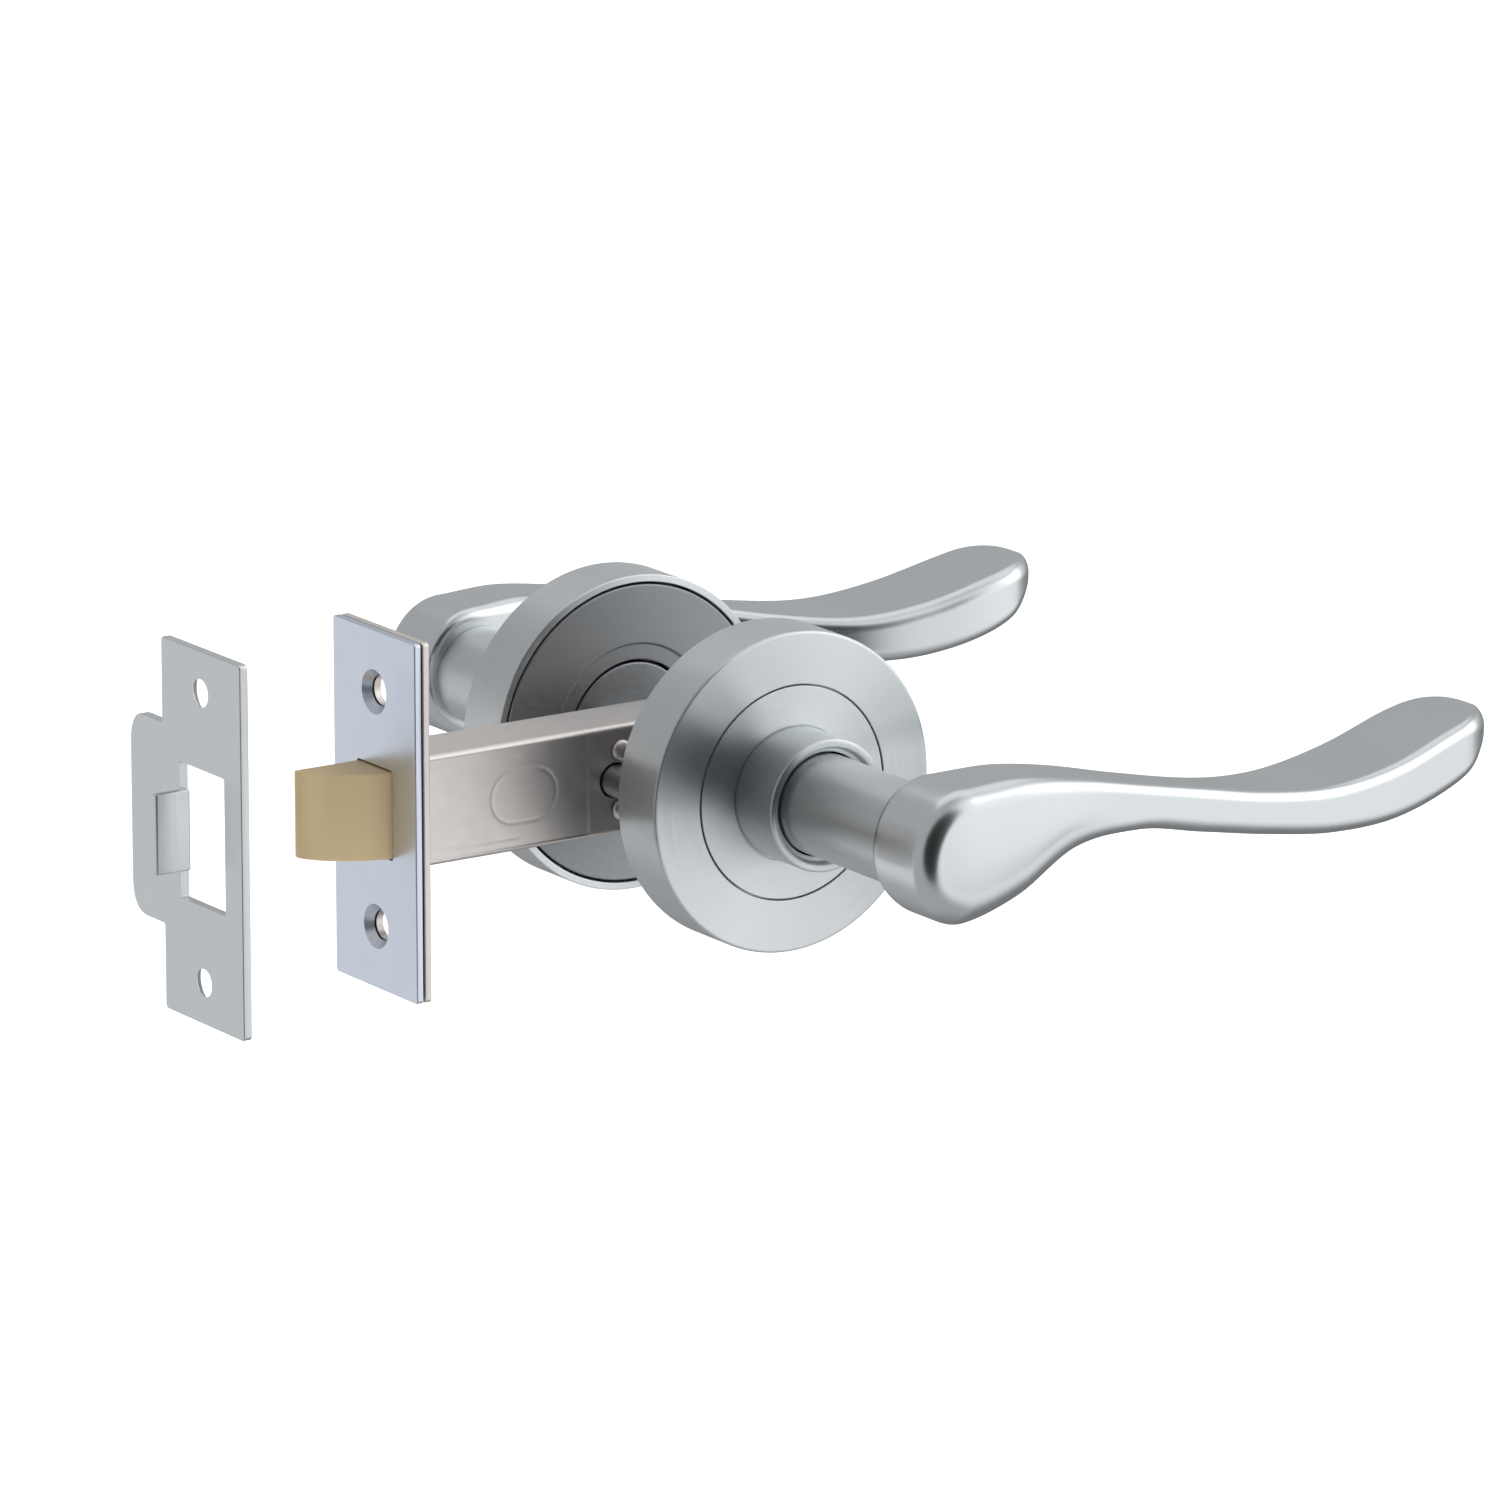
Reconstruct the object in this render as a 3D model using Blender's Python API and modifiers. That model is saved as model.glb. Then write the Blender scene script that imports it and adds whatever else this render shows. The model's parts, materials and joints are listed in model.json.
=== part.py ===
"""A pair of sprung lever handles on round roses, with the spindle, tubular latch and strike plate
that they work with, as fitted to a 35 mm door.

Metres, +Z up. The origin is on the spindle axis, in the plane of the door's front face. +X runs along
the levers, away from the door's edge, and -Y points at the person who holds the front lever.
"""

import math

import bmesh
import bpy
import numpy as np
from mathutils import Matrix, Vector

MM = 0.001
GAP = 0.3 * MM  # play between neighbouring pieces

DOOR_THICKNESS = 35 * MM
BACKSET = 60 * MM  # forend face to spindle axis
FIXING_CENTRES = 38 * MM  # distance between the two through bolts

# Rose, all distances outwards from the door's face.
ROSE_RADIUS = 26 * MM
ROSE_DEPTH = 10.5 * MM
ROSE_WALL = 1.2 * MM
ROSE_OPENING = 17.5 * MM  # radius of the hole that the boss fills
PLATE_THICKNESS = 2.2 * MM
HOUSING_TOP = 7.2 * MM
HOUSING_BORE = 14.4 * MM
BOSS_RADIUS = 10.75 * MM
BOSS_TOP = 20.5 * MM
BOSS_BORE = 9.55 * MM
BOSS_FOOT = 6.5 * MM

# Spring cassette inside the rose.
HUB_RADIUS = 11.5 * MM
HUB_LEVELS = (0.5 * MM, 2.9 * MM)
SPRING_RADIUS = 13.2 * MM
SPRING_WIRE = 0.65 * MM
SPRING_START = math.radians(200)
SPRING_TURNS = 2.1
SPRING_END = SPRING_START + SPRING_TURNS * math.tau
SPRING_LOW = 3.5 * MM
SPRING_PITCH = 1.5 * MM

# Lever.
NECK_RADIUS = 8.15 * MM
NECK_END = 3.2 * MM
GROOVE_RADIUS = 7.2 * MM
GROOVE = (4.0 * MM, 5.6 * MM)
SOCKET_SIDE = 8.2 * MM
SOCKET_DEPTH = 34 * MM
GRUB_DISTANCE = 27 * MM
GRUB_RADIUS = 2.5 * MM

# Sections of the grip in mm: along the grip, top, bottom, front face, back face. The first two
# are heights over the spindle axis, the last two are distances from the door's face.
GRIP_STATIONS = (
    (-10, 11.1, -10.3, 61.0, 46.3),
    (0, 11.2, -10.9, 61.0, 46.3),
    (10, 11.5, -7.9, 61.0, 47.0),
    (20, 10.1, -1.5, 60.9, 47.3),
    (32, 7.6, -0.2, 60.6, 49.4),
    (45, 4.9, -2.6, 60.1, 49.7),
    (58, 2.3, -5.1, 59.4, 45.1),
    (72, 0.9, -7.1, 58.4, 39.4),
    (85, 2.3, -7.0, 57.2, 36.7),
    (97, 5.4, -4.4, 55.3, 35.5),
    (108.5, 8.3, 0.5, 53.5, 36.8),
)
BULB_ROUND = 10 * MM  # length of the round end over the spindle
TIP_ROUND_HEIGHT = 7.2 * MM  # length over which the tip closes in height
TIP_ROUND_DEPTH = 8.8 * MM  # and in depth
BULB_EDGE = 3.6 * MM  # radius of the front edge, over the bulb
BULB_BOTTOM_EDGE = 5.5 * MM  # and under it
TOP_EDGE = 1.6 * MM
BOTTOM_EDGE = 2.4 * MM
TIP_EDGE = 3.2 * MM
BACK_EDGE = 1.5 * MM  # radius of the back edge, at the neck
BACK_FAR_EDGE = 2.4 * MM  # and along the grip
CROWN = 0.5 * MM

# Spindle and bolts.
SPINDLE_SIDE = 7.6 * MM
SPINDLE_REACH = 33 * MM  # beyond each face of the door
SLEEVE_RADIUS = 2.6 * MM
SLEEVE_BORE = 2.05 * MM
BOLT_RADIUS = 1.75 * MM
HEAD_RADIUS = 3.4 * MM
HEAD_SEAT = 5.7 * MM
HEAD_TOP = 7.0 * MM

# Latch, measured from the spindle axis along -X and about the middle of the door.
CASE_HEIGHT = 17.8 * MM
CASE_DEPTH = 12 * MM
CASE_WALL = 0.8 * MM
CASE_BACK = 13.2 * MM
FOREND_HEIGHT = 58 * MM
FOREND_DEPTH = 24 * MM
FOREND_LAYER = 1.2 * MM
FOREND_HOLES = 38 * MM
SCREW_HOLE_RADIUS = 2.25 * MM
SCREW_SINK_RADIUS = 3.6 * MM
LATCH_THROW = 12 * MM
LATCH_HEIGHT = 14 * MM
LATCH_DEPTH = 9.8 * MM
FOLLOWER_RADIUS = 6.5 * MM
FOLLOWER_SIDE = 8.2 * MM
WING_REACH = 8.5 * MM
WING_ANGLE = math.radians(30)
ANCHOR = (-23.5 * MM, -15.2 * MM)
CARRIAGE_FRONT = (-46.7 * MM, -44.7 * MM)
PRONG = (6.9 * MM, 7.7 * MM)
PRONG_END = 0.8 * MM
RIVET_RADIUS = 1.0 * MM
RIVET_X, RIVET_Z = -17.9 * MM, 4.8 * MM
REAR_RIVET_RADIUS = 1.4 * MM
REAR_RIVET_X = 10.4 * MM

# Strike plate.
STRIKE_GAP = 30 * MM  # from the forend at rest
STRIKE_HEIGHT = 60 * MM
STRIKE_DEPTH = 23.5 * MM
STRIKE_THICKNESS = 1.5 * MM
STRIKE_OPENING = (22 * MM, 13.4 * MM)
STRIKE_HOLES = 46.5 * MM
LIP_HEIGHT = 32.6 * MM
LIP_LENGTH = 9.7 * MM
LIP_CORNER = 4 * MM

MIDDLE = DOOR_THICKNESS / 2
FOREND_FACE = -BACKSET
CASE_FRONT = FOREND_FACE + 2 * FOREND_LAYER + 2 * GAP

FINISHES = {
    "satin_chrome": ((0.72, 0.74, 0.76), 1.0, 0.3),
    "zinc_plate": ((0.62, 0.63, 0.65), 1.0, 0.4),
    "spring_steel": ((0.35, 0.36, 0.38), 1.0, 0.35),
    "black_nylon": ((0.04, 0.04, 0.045), 0.0, 0.5),
    "nickel_plate": ((0.66, 0.62, 0.6), 1.0, 0.3),
    "bright_chrome": ((0.6, 0.65, 0.72), 1.0, 0.12),
    "brass": ((0.78, 0.58, 0.3), 1.0, 0.3),
}


def clear_scene():
    for old in list(bpy.data.objects):
        bpy.data.objects.remove(old, do_unlink=True)


def make_collection(name, hidden=False):
    found = bpy.data.collections.new(name)
    bpy.context.scene.collection.children.link(found)
    found.hide_render = hidden
    return found


def make_material(part, finish):
    colour, metallic, roughness = FINISHES[finish]
    made = bpy.data.materials.new(part)
    made.use_nodes = True
    shader = made.node_tree.nodes["Principled BSDF"]
    shader.inputs["Base Color"].default_value = (*colour, 1)
    shader.inputs["Metallic"].default_value = metallic
    shader.inputs["Roughness"].default_value = roughness
    made.diffuse_color = (*colour, 1)
    return made


def add_part(name, mesh, finish, parent=None):
    """A visible piece: it takes its finish and the frame of its side of the door."""
    piece = bpy.data.objects.new(name, mesh)
    PARTS.objects.link(piece)
    piece.parent = parent
    mesh.materials.append(make_material(name, finish))
    return piece


def add_cutter(name, mesh, parent=None):
    helper = bpy.data.objects.new(name, mesh)
    CUTTERS.objects.link(helper)
    helper.parent = parent
    helper.hide_render = True
    helper.display_type = "WIRE"
    return helper


def boolean(piece, helper, operation="DIFFERENCE"):
    modifier = piece.modifiers.new(helper.name, "BOOLEAN")
    modifier.operation = operation
    modifier.object = helper


def mesh_from(name, work, smooth=None):
    mesh = bpy.data.meshes.new(name)
    work.to_mesh(mesh)
    work.free()
    if smooth is not None:
        mesh.shade_smooth()
        mesh.set_sharp_from_angle(angle=math.radians(smooth))
    return mesh


def block_mesh(name, low, high):
    low, high = Vector(low), Vector(high)
    work = bmesh.new()
    bmesh.ops.create_cube(work, size=1)
    bmesh.ops.scale(work, vec=high - low, verts=work.verts)
    bmesh.ops.translate(work, vec=(low + high) / 2, verts=work.verts)
    return mesh_from(name, work)


def rod_mesh(name, radius, start, end, sides=16, far_radius=None):
    """A cylinder, or a cone where far_radius is given, from one point to another."""
    start, end = Vector(start), Vector(end)
    work = bmesh.new()
    turn = Vector((0, 0, 1)).rotation_difference(end - start).to_matrix().to_4x4()
    bmesh.ops.create_cone(
        work,
        cap_ends=True,
        segments=sides,
        radius1=radius,
        radius2=radius if far_radius is None else far_radius,
        depth=(end - start).length,
        matrix=Matrix.Translation((start + end) / 2) @ turn,
    )
    return mesh_from(name, work, smooth=35)


def prism_mesh(name, outline, low, high, along="Y"):
    """A flat outline of (a, b) points, counter-clockwise, pushed from low to high along an axis."""
    place = {
        "X": lambda a, b, c: (c, a, b),
        "Y": lambda a, b, c: (b, c, a),
        "Z": lambda a, b, c: (a, b, c),
    }[along]
    work = bmesh.new()
    floor = work.faces.new([work.verts.new(place(a, b, low)) for a, b in outline])
    pushed = bmesh.ops.extrude_face_region(work, geom=[floor])["geom"]
    raised = [item for item in pushed if isinstance(item, bmesh.types.BMVert)]
    bmesh.ops.translate(work, vec=Vector(place(0, 0, high - low)), verts=raised)
    bmesh.ops.recalc_face_normals(work, faces=work.faces)
    return mesh_from(name, work, smooth=35)


def turn_profile(name, profile, steps, finish=None, parent=None):
    """A closed profile of (radius, distance) points, turned about local Z by a Screw modifier.

    The points run down the outer side first, and back up the inner side.
    """
    mesh = bpy.data.meshes.new(name)
    points = [(radius, 0, distance) for radius, distance in profile]
    edges = [(i, (i + 1) % len(points)) for i in range(len(points))]
    if profile[0][0] == profile[-1][0] == 0:
        edges.pop()
    mesh.from_pydata(points, edges, [])
    if finish:
        piece = add_part(name, mesh, finish, parent)
    else:
        piece = add_cutter(name, mesh, parent)
    screw = piece.modifiers.new("turn", "SCREW")
    screw.axis = "Z"
    screw.angle = math.tau
    screw.steps = steps
    screw.render_steps = steps
    screw.use_merge_vertices = True
    screw.merge_threshold = 0.00001
    return piece


def ring_profile(inner, outer, low, high):
    return ((outer, high), (outer, low), (inner, low), (inner, high))


def wire_part(name, points, radius, finish, parent=None):
    """A round wire through the points, as a mesh with closed ends."""
    curve = bpy.data.curves.new(name, "CURVE")
    curve.dimensions = "3D"
    curve.bevel_depth = radius
    curve.bevel_resolution = 2
    curve.use_fill_caps = True
    spline = curve.splines.new("POLY")
    spline.points.add(len(points) - 1)
    for spot, place in zip(spline.points, points):
        spot.co = (*place, 1)
    guide = bpy.data.objects.new(name + "_curve", curve)
    CUTTERS.objects.link(guide)
    bpy.context.view_layer.update()
    graph = bpy.context.evaluated_depsgraph_get()
    mesh = bpy.data.meshes.new_from_object(guide.evaluated_get(graph))
    bpy.data.objects.remove(guide)
    work = bmesh.new()
    work.from_mesh(mesh)
    bmesh.ops.remove_doubles(work, verts=work.verts, dist=1e-6)
    bmesh.ops.recalc_face_normals(work, faces=work.faces)
    work.to_mesh(mesh)
    work.free()
    mesh.shade_smooth()
    return add_part(name, mesh, finish, parent)


def through_stations(stations, values, places):
    """A smooth curve through the stations: cubic pieces whose slopes average their neighbours'."""
    stations, values = np.asarray(stations, float), np.asarray(values, float)
    slopes = np.gradient(values, stations)
    piece = np.clip(np.searchsorted(stations, places) - 1, 0, len(stations) - 2)
    width = stations[piece + 1] - stations[piece]
    part = (places - stations[piece]) / width
    start = (1 + 2 * part) * (1 - part) ** 2 * values[piece]
    end = part**2 * (3 - 2 * part) * values[piece + 1]
    lean = part * (1 - part) ** 2 * slopes[piece] - part**2 * (1 - part) * slopes[piece + 1]
    return start + end + width * lean


def grip_curves(along):
    """Top, bottom, front and back of the grip at places along it, before its ends close."""
    table = np.array(GRIP_STATIONS) * MM
    return [through_stations(table[:, 0], table[:, k], along) for k in range(1, 5)]


def grip_heights(along):
    """Top, bottom and middle of the grip, the middle drawn to the spindle axis at the bulb."""
    top, bottom, _, _ = grip_curves(along)
    start = GRIP_STATIONS[0][0] * MM
    settle = np.clip((along - start) / (2 * BULB_ROUND), 0, 1)
    return top, bottom, (top + bottom) / 2 * settle


def grip_outline(per_side):
    """The grip's side outline: a quarter ellipse round the bulb, and a blunter one at the tip."""
    left, right = GRIP_STATIONS[0][0] * MM, GRIP_STATIONS[-1][0] * MM
    ends = np.linspace(0, math.pi / 2, per_side // 4)
    bulb = left + BULB_ROUND * (1 - np.cos(ends))
    tip = right - TIP_ROUND_HEIGHT * (1 - np.cos(ends))[::-1]
    body = np.linspace(bulb[-1], tip[0], per_side - 2 * len(ends) + 2)[1:-1]
    along = np.concatenate([bulb, body, tip])
    blunt = (1 - np.cos(ends[::-1]) ** 2.5) ** 0.4
    shut = np.concatenate([np.sin(ends), np.ones(len(body)), blunt])
    top, bottom, middle = grip_heights(along)
    spine = np.clip(along, left + BULB_ROUND, right - TIP_ROUND_HEIGHT)
    over = np.stack([along, middle + shut * (top - middle)], 1)
    under = np.stack([along, middle + shut * (bottom - middle)], 1)
    inner = np.stack([spine, grip_heights(spine)[2]], 1)
    return np.concatenate([over, under[-2:0:-1]]), np.concatenate([inner, inner[-2:0:-1]])


def half_depth(along):
    """Half the grip's depth and the distance of its middle, closing to a round tip in plan."""
    right = GRIP_STATIONS[-1][0] * MM
    _, _, front, back = grip_curves(along)
    near = np.clip((right - along) / TIP_ROUND_DEPTH, 0.002, 1)
    return (front - back) / 2 * np.sqrt(1 - (1 - near) ** 2), (front + back) / 2


def grip_mesh(name, up, per_side=28, round_rows=3):
    """The grip as a loop of rows round its outline.

    Each row runs from the spine of the front face, out over the edge, across the side and back in
    to the spine of the back face. An edge is a quarter circle, measured square to the outline.
    """
    outline, spine = grip_outline(per_side)
    ahead = np.roll(outline, -1, 0) - np.roll(outline, 1, 0)
    normal = np.stack([-ahead[:, 1], ahead[:, 0]], 1)
    normal /= np.linalg.norm(normal, axis=1, keepdims=True)
    inward = spine - outline
    room = np.abs((inward * normal).sum(1))
    blend = np.clip((outline[:, 0] - 5 * MM) / (25 * MM), 0, 1)
    below = np.arange(len(outline)) >= per_side
    under = below * np.clip((outline[:, 0] + 10 * MM) / (7 * MM), 0, 1)
    bulb_edge = BULB_EDGE + under * (BULB_BOTTOM_EDGE - BULB_EDGE)
    front_edge = bulb_edge + blend * (np.where(below, BOTTOM_EDGE, TOP_EDGE) - bulb_edge)
    rise = np.maximum(under, np.clip((outline[:, 0] + 6 * MM) / (14 * MM), 0, 1))
    back_edge = BACK_EDGE + rise * (BACK_FAR_EDGE - BACK_EDGE)
    tip = np.clip((outline[:, 0] - GRIP_STATIONS[-1][0] * MM) / (9 * MM) + 1, 0, 1)
    front_edge = front_edge + tip * (TIP_EDGE - front_edge)
    back_edge = back_edge + tip * (TIP_EDGE - back_edge)
    angles = np.linspace(0, math.pi / 2, round_rows + 1)
    rows = []
    for sign, radius in ((1, front_edge), (-1, back_edge)):
        radius = np.minimum(radius, 0.9 * room)
        side = []
        for face in (1.0, 0.5):
            share = radius / room + face * (1 - radius / room)
            side.append((share, 0.0, math.sin(face * math.pi / 2)))
        for angle in angles[::-1]:
            side.append((radius / room * (1 - math.cos(angle)), 1 - math.sin(angle), 0.0))
        for share, drop, crown in side if sign == 1 else side[::-1]:
            flat = outline + share[:, None] * inward
            half, middle = half_depth(flat[:, 0])
            edge = np.minimum(radius, 0.9 * half)
            rise = CROWN * crown * (1 - blend) if sign == 1 else 0
            distance = middle + sign * (half - edge * drop) + rise
            rows.append(np.stack([flat[:, 0], up * flat[:, 1], distance], 1))
    points = np.concatenate(rows)
    count = len(outline)
    work = bmesh.new()
    verts = [work.verts.new(point) for point in points]
    for row in range(len(rows) - 1):
        for i in range(count):
            j = (i + 1) % count
            a, b = row * count, (row + 1) * count
            work.faces.new((verts[a + i], verts[a + j], verts[b + j], verts[b + i]))
    bmesh.ops.remove_doubles(work, verts=work.verts, dist=1e-6)
    bmesh.ops.recalc_face_normals(work, faces=work.faces)
    return mesh_from(name, work, smooth=50)


def make_lever(prefix, side, up):
    """One casting: the grip, the round neck, and the square socket in the neck for the spindle."""
    lever = add_part(prefix + "lever", grip_mesh(prefix + "lever", up), "satin_chrome", side)
    profile = (
        (0, 48 * MM),
        (NECK_RADIUS, 48 * MM),
        (NECK_RADIUS, GROOVE[1]),
        (GROOVE_RADIUS, GROOVE[1]),
        (GROOVE_RADIUS, GROOVE[0]),
        (NECK_RADIUS, GROOVE[0]),
        (NECK_RADIUS, NECK_END),
        (0, NECK_END),
    )
    boolean(lever, turn_profile(prefix + "neck", profile, 24, parent=side), "UNION")
    half = SOCKET_SIDE / 2
    socket = block_mesh("socket", (-half, -half, NECK_END - MM), (half, half, SOCKET_DEPTH))
    boolean(lever, add_cutter(prefix + "socket", socket, side))
    hole = rod_mesh(
        "grub_hole",
        GRUB_RADIUS + GAP,
        (0, -up * (NECK_RADIUS + MM), GRUB_DISTANCE),
        (0, -up * half * 0.9, GRUB_DISTANCE),
        sides=12,
    )
    boolean(lever, add_cutter(prefix + "grub_hole", hole, side))


def make_grub_screw(prefix, side, up):
    start = (0, -up * (NECK_RADIUS - 0.2 * MM), GRUB_DISTANCE)
    end = (0, -up * (SPINDLE_SIDE / 2 + GAP), GRUB_DISTANCE)
    body = rod_mesh("grub", GRUB_RADIUS, start, end, sides=12)
    screw = add_part(prefix + "grub_screw", body, "spring_steel", side)
    deep = (0, -up * (NECK_RADIUS - 2.0 * MM), GRUB_DISTANCE)
    out = (0, -up * (NECK_RADIUS + MM), GRUB_DISTANCE)
    key = rod_mesh("key", 1.45 * MM, out, deep, sides=6)
    boolean(screw, add_cutter(prefix + "grub_key", key, side))


def make_rose_cover(prefix, side):
    """The outer ring: a drawn cup with a softened rim and a round opening for the boss."""
    soft = 0.5 * MM
    profile = (
        (ROSE_OPENING, ROSE_DEPTH),
        (ROSE_RADIUS - soft, ROSE_DEPTH),
        (ROSE_RADIUS, ROSE_DEPTH - soft),
        (ROSE_RADIUS, 0),
        (ROSE_RADIUS - ROSE_WALL, 0),
        (ROSE_RADIUS - ROSE_WALL, ROSE_DEPTH - ROSE_WALL),
        (ROSE_OPENING, ROSE_DEPTH - ROSE_WALL),
    )
    turn_profile(prefix + "rose_cover", profile, 48, "satin_chrome", side)


def make_rose_boss(prefix, side):
    """The inner disc with the collar that carries the neck's bush. The cover traps its flange."""
    inner = ROSE_OPENING - GAP
    profile = (
        (BOSS_RADIUS - 0.5 * MM, BOSS_TOP),
        (BOSS_RADIUS, BOSS_TOP - 0.6 * MM),
        (BOSS_RADIUS, ROSE_DEPTH),
        (inner, ROSE_DEPTH),
        (inner, 9.0 * MM),
        (inner + 1.1 * MM, 9.0 * MM),
        (inner + 1.1 * MM, HOUSING_TOP + GAP),
        (HOUSING_BORE + GAP, HOUSING_TOP + GAP),
        (HOUSING_BORE + GAP, 8.3 * MM),
        (BOSS_RADIUS, 8.3 * MM),
        (BOSS_RADIUS, BOSS_FOOT),
        (BOSS_BORE, BOSS_FOOT),
        (BOSS_BORE, 18.3 * MM),
        (NECK_RADIUS + 0.5 * MM, 18.3 * MM),
        (BOSS_RADIUS - 1.3 * MM, BOSS_TOP - 0.3 * MM),
    )
    turn_profile(prefix + "rose_boss", profile, 32, "satin_chrome", side)


def make_mounting_plate(prefix, side):
    outer = ROSE_RADIUS - ROSE_WALL - 0.4 * MM
    profile = ring_profile(HUB_RADIUS + 0.5 * MM, outer, 0, PLATE_THICKNESS)
    plate = turn_profile(prefix + "mounting_plate", profile, 32, "zinc_plate", side)
    for spot, radius, low in fixing_places():
        tail = rod_mesh("hole", radius, (*spot, low), (*spot, PLATE_THICKNESS + MM), sides=12)
        boolean(plate, add_cutter(plate.name + "_hole", tail, side))


def fixing_places():
    """Where the bolts pass the plate and housing, and where the housing's screws end: a point
    in the side's frame, the hole's radius and its lowest level."""
    reach = FIXING_CENTRES / 2
    for sign in (-1, 1):
        yield (sign * reach, 0), SLEEVE_RADIUS + GAP, -MM
        yield (0, sign * reach), 1.5 * MM + GAP, 0.6 * MM


def make_spring_housing(prefix, side):
    """The ring round the return spring, with seats for the bolts, screws and the spring's leg."""
    low = PLATE_THICKNESS + GAP
    profile = ring_profile(HOUSING_BORE, 23.6 * MM, low, HOUSING_TOP)
    housing = turn_profile(prefix + "spring_housing", profile, 32, "zinc_plate", side)
    reach = FIXING_CENTRES / 2
    for spot, radius, _ in fixing_places():
        hole = rod_mesh("hole", radius, (*spot, 0), (*spot, HOUSING_TOP + MM), sides=12)
        boolean(housing, add_cutter(housing.name + "_hole", hole, side))
    for sign in (-1, 1):
        bolt_seat = (sign * reach, 0, HEAD_SEAT - GAP)
        seat = rod_mesh("seat", HEAD_RADIUS + GAP, bolt_seat, (sign * reach, 0, 9 * MM))
        boolean(housing, add_cutter(housing.name + "_seat", seat, side))
        screw_seat = (0, sign * reach, HEAD_SEAT - GAP)
        seat = rod_mesh("seat", 2.8 * MM + GAP, screw_seat, (0, sign * reach, 9 * MM), sides=12)
        boolean(housing, add_cutter(housing.name + "_screw_seat", seat, side))
    slot = block_mesh("slot", (-1.1 * MM, 14 * MM, 5.6 * MM), (1.1 * MM, 16.4 * MM, 9 * MM))
    notch = add_cutter(housing.name + "_leg_slot", slot, side)
    notch.rotation_euler.z = SPRING_END - math.pi / 2
    boolean(housing, notch)


def make_return_spring(prefix, side):
    """A torsion coil: the low leg drops into the hub's slot, the high leg into the housing's."""
    top = SPRING_LOW + SPRING_TURNS * SPRING_PITCH

    def at(radius, angle, level):
        return radius * math.cos(angle), radius * math.sin(angle), level

    steps = round(SPRING_TURNS * 16)
    points = [at(10.6 * MM, SPRING_START, 1.4 * MM), at(10.6 * MM, SPRING_START, SPRING_LOW)]
    for step in range(steps + 1):
        share = step / steps
        turned = SPRING_START + share * SPRING_TURNS * math.tau
        points.append(at(SPRING_RADIUS, turned, SPRING_LOW + share * (top - SPRING_LOW)))
    points.append(at(15.7 * MM, SPRING_END, top))
    wire_part(prefix + "return_spring", points, SPRING_WIRE, "spring_steel", side)


def make_drive_hub(prefix, side):
    """The plate that turns with the spindle and winds the spring by the leg in its slot."""
    low, high = HUB_LEVELS
    profile = ((0, high), (HUB_RADIUS, high), (HUB_RADIUS, low), (0, low))
    hub = turn_profile(prefix + "drive_hub", profile, 24, "zinc_plate", side)
    half = SOCKET_SIDE / 2
    square = block_mesh("square", (-half, -half, -MM), (half, half, 4 * MM))
    boolean(hub, add_cutter(hub.name + "_square", square, side))
    slot = block_mesh("slot", (-1.1 * MM, 9.5 * MM, -MM), (1.1 * MM, 13 * MM, 4 * MM))
    notch = add_cutter(hub.name + "_leg_slot", slot, side)
    notch.rotation_euler.z = SPRING_START - math.pi / 2
    boolean(hub, notch)


def make_neck_fittings(prefix, side):
    """The open ring in the neck's groove, the washer behind the boss and the bush inside it."""
    profile = ring_profile(GROOVE_RADIUS + GAP, 9.6 * MM, 4.3 * MM, 5.3 * MM)
    circlip = turn_profile(prefix + "circlip", profile, 20, "spring_steel", side)
    opening = block_mesh("opening", (-1.2 * MM, 5 * MM, 4 * MM), (1.2 * MM, 11 * MM, 6 * MM))
    boolean(circlip, add_cutter(circlip.name + "_opening", opening, side))
    bore = NECK_RADIUS + GAP
    washer = ring_profile(bore, 11.5 * MM, 5.7 * MM, 6.2 * MM)
    turn_profile(prefix + "thrust_washer", washer, 24, "zinc_plate", side)
    bush = ring_profile(bore, BOSS_BORE - GAP, BOSS_FOOT + GAP, 18 * MM)
    turn_profile(prefix + "neck_bush", bush, 24, "black_nylon", side)


def make_housing_screws(prefix, side):
    for sign, place in ((1, "upper"), (-1, "lower")):
        profile = (
            (0, HEAD_TOP),
            (2.8 * MM, HEAD_TOP),
            (2.8 * MM, HEAD_SEAT),
            (1.5 * MM, HEAD_SEAT),
            (1.5 * MM, 0.9 * MM),
            (0, 0.9 * MM),
        )
        name = f"{prefix}housing_screw_{place}"
        screw = turn_profile(name, profile, 12, "zinc_plate", side)
        screw.location = (0, sign * FIXING_CENTRES / 2, 0)
        cut_cross(screw, HEAD_TOP, 1.7 * MM, side)


def cut_cross(screw, top, reach, side):
    """A cross recess for the driver in the head of a screw that stands along local Z."""
    thin, deep = 0.45 * MM, 0.8 * MM
    for k, (a, b) in enumerate(((reach, thin), (thin, reach))):
        slot = block_mesh("cross", (-a, -b, top - deep), (a, b, top + MM))
        helper = add_cutter(f"{screw.name}_cross_{k}", slot, side)
        helper.location = screw.location
        boolean(screw, helper)


def make_furniture(prefix, side, up):
    """Everything on one side of the door: the lever, its rose and its spring cassette."""
    make_lever(prefix, side, up)
    make_grub_screw(prefix, side, up)
    make_rose_cover(prefix, side)
    make_rose_boss(prefix, side)
    make_mounting_plate(prefix, side)
    make_spring_housing(prefix, side)
    make_return_spring(prefix, side)
    make_drive_hub(prefix, side)
    make_neck_fittings(prefix, side)
    make_housing_screws(prefix, side)


def make_side(name, distance, turn):
    """An empty whose +Z points away from the door on that side."""
    side = bpy.data.objects.new(name, None)
    PARTS.objects.link(side)
    side.location = (0, distance, 0)
    side.rotation_euler.x = turn
    return side


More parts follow.
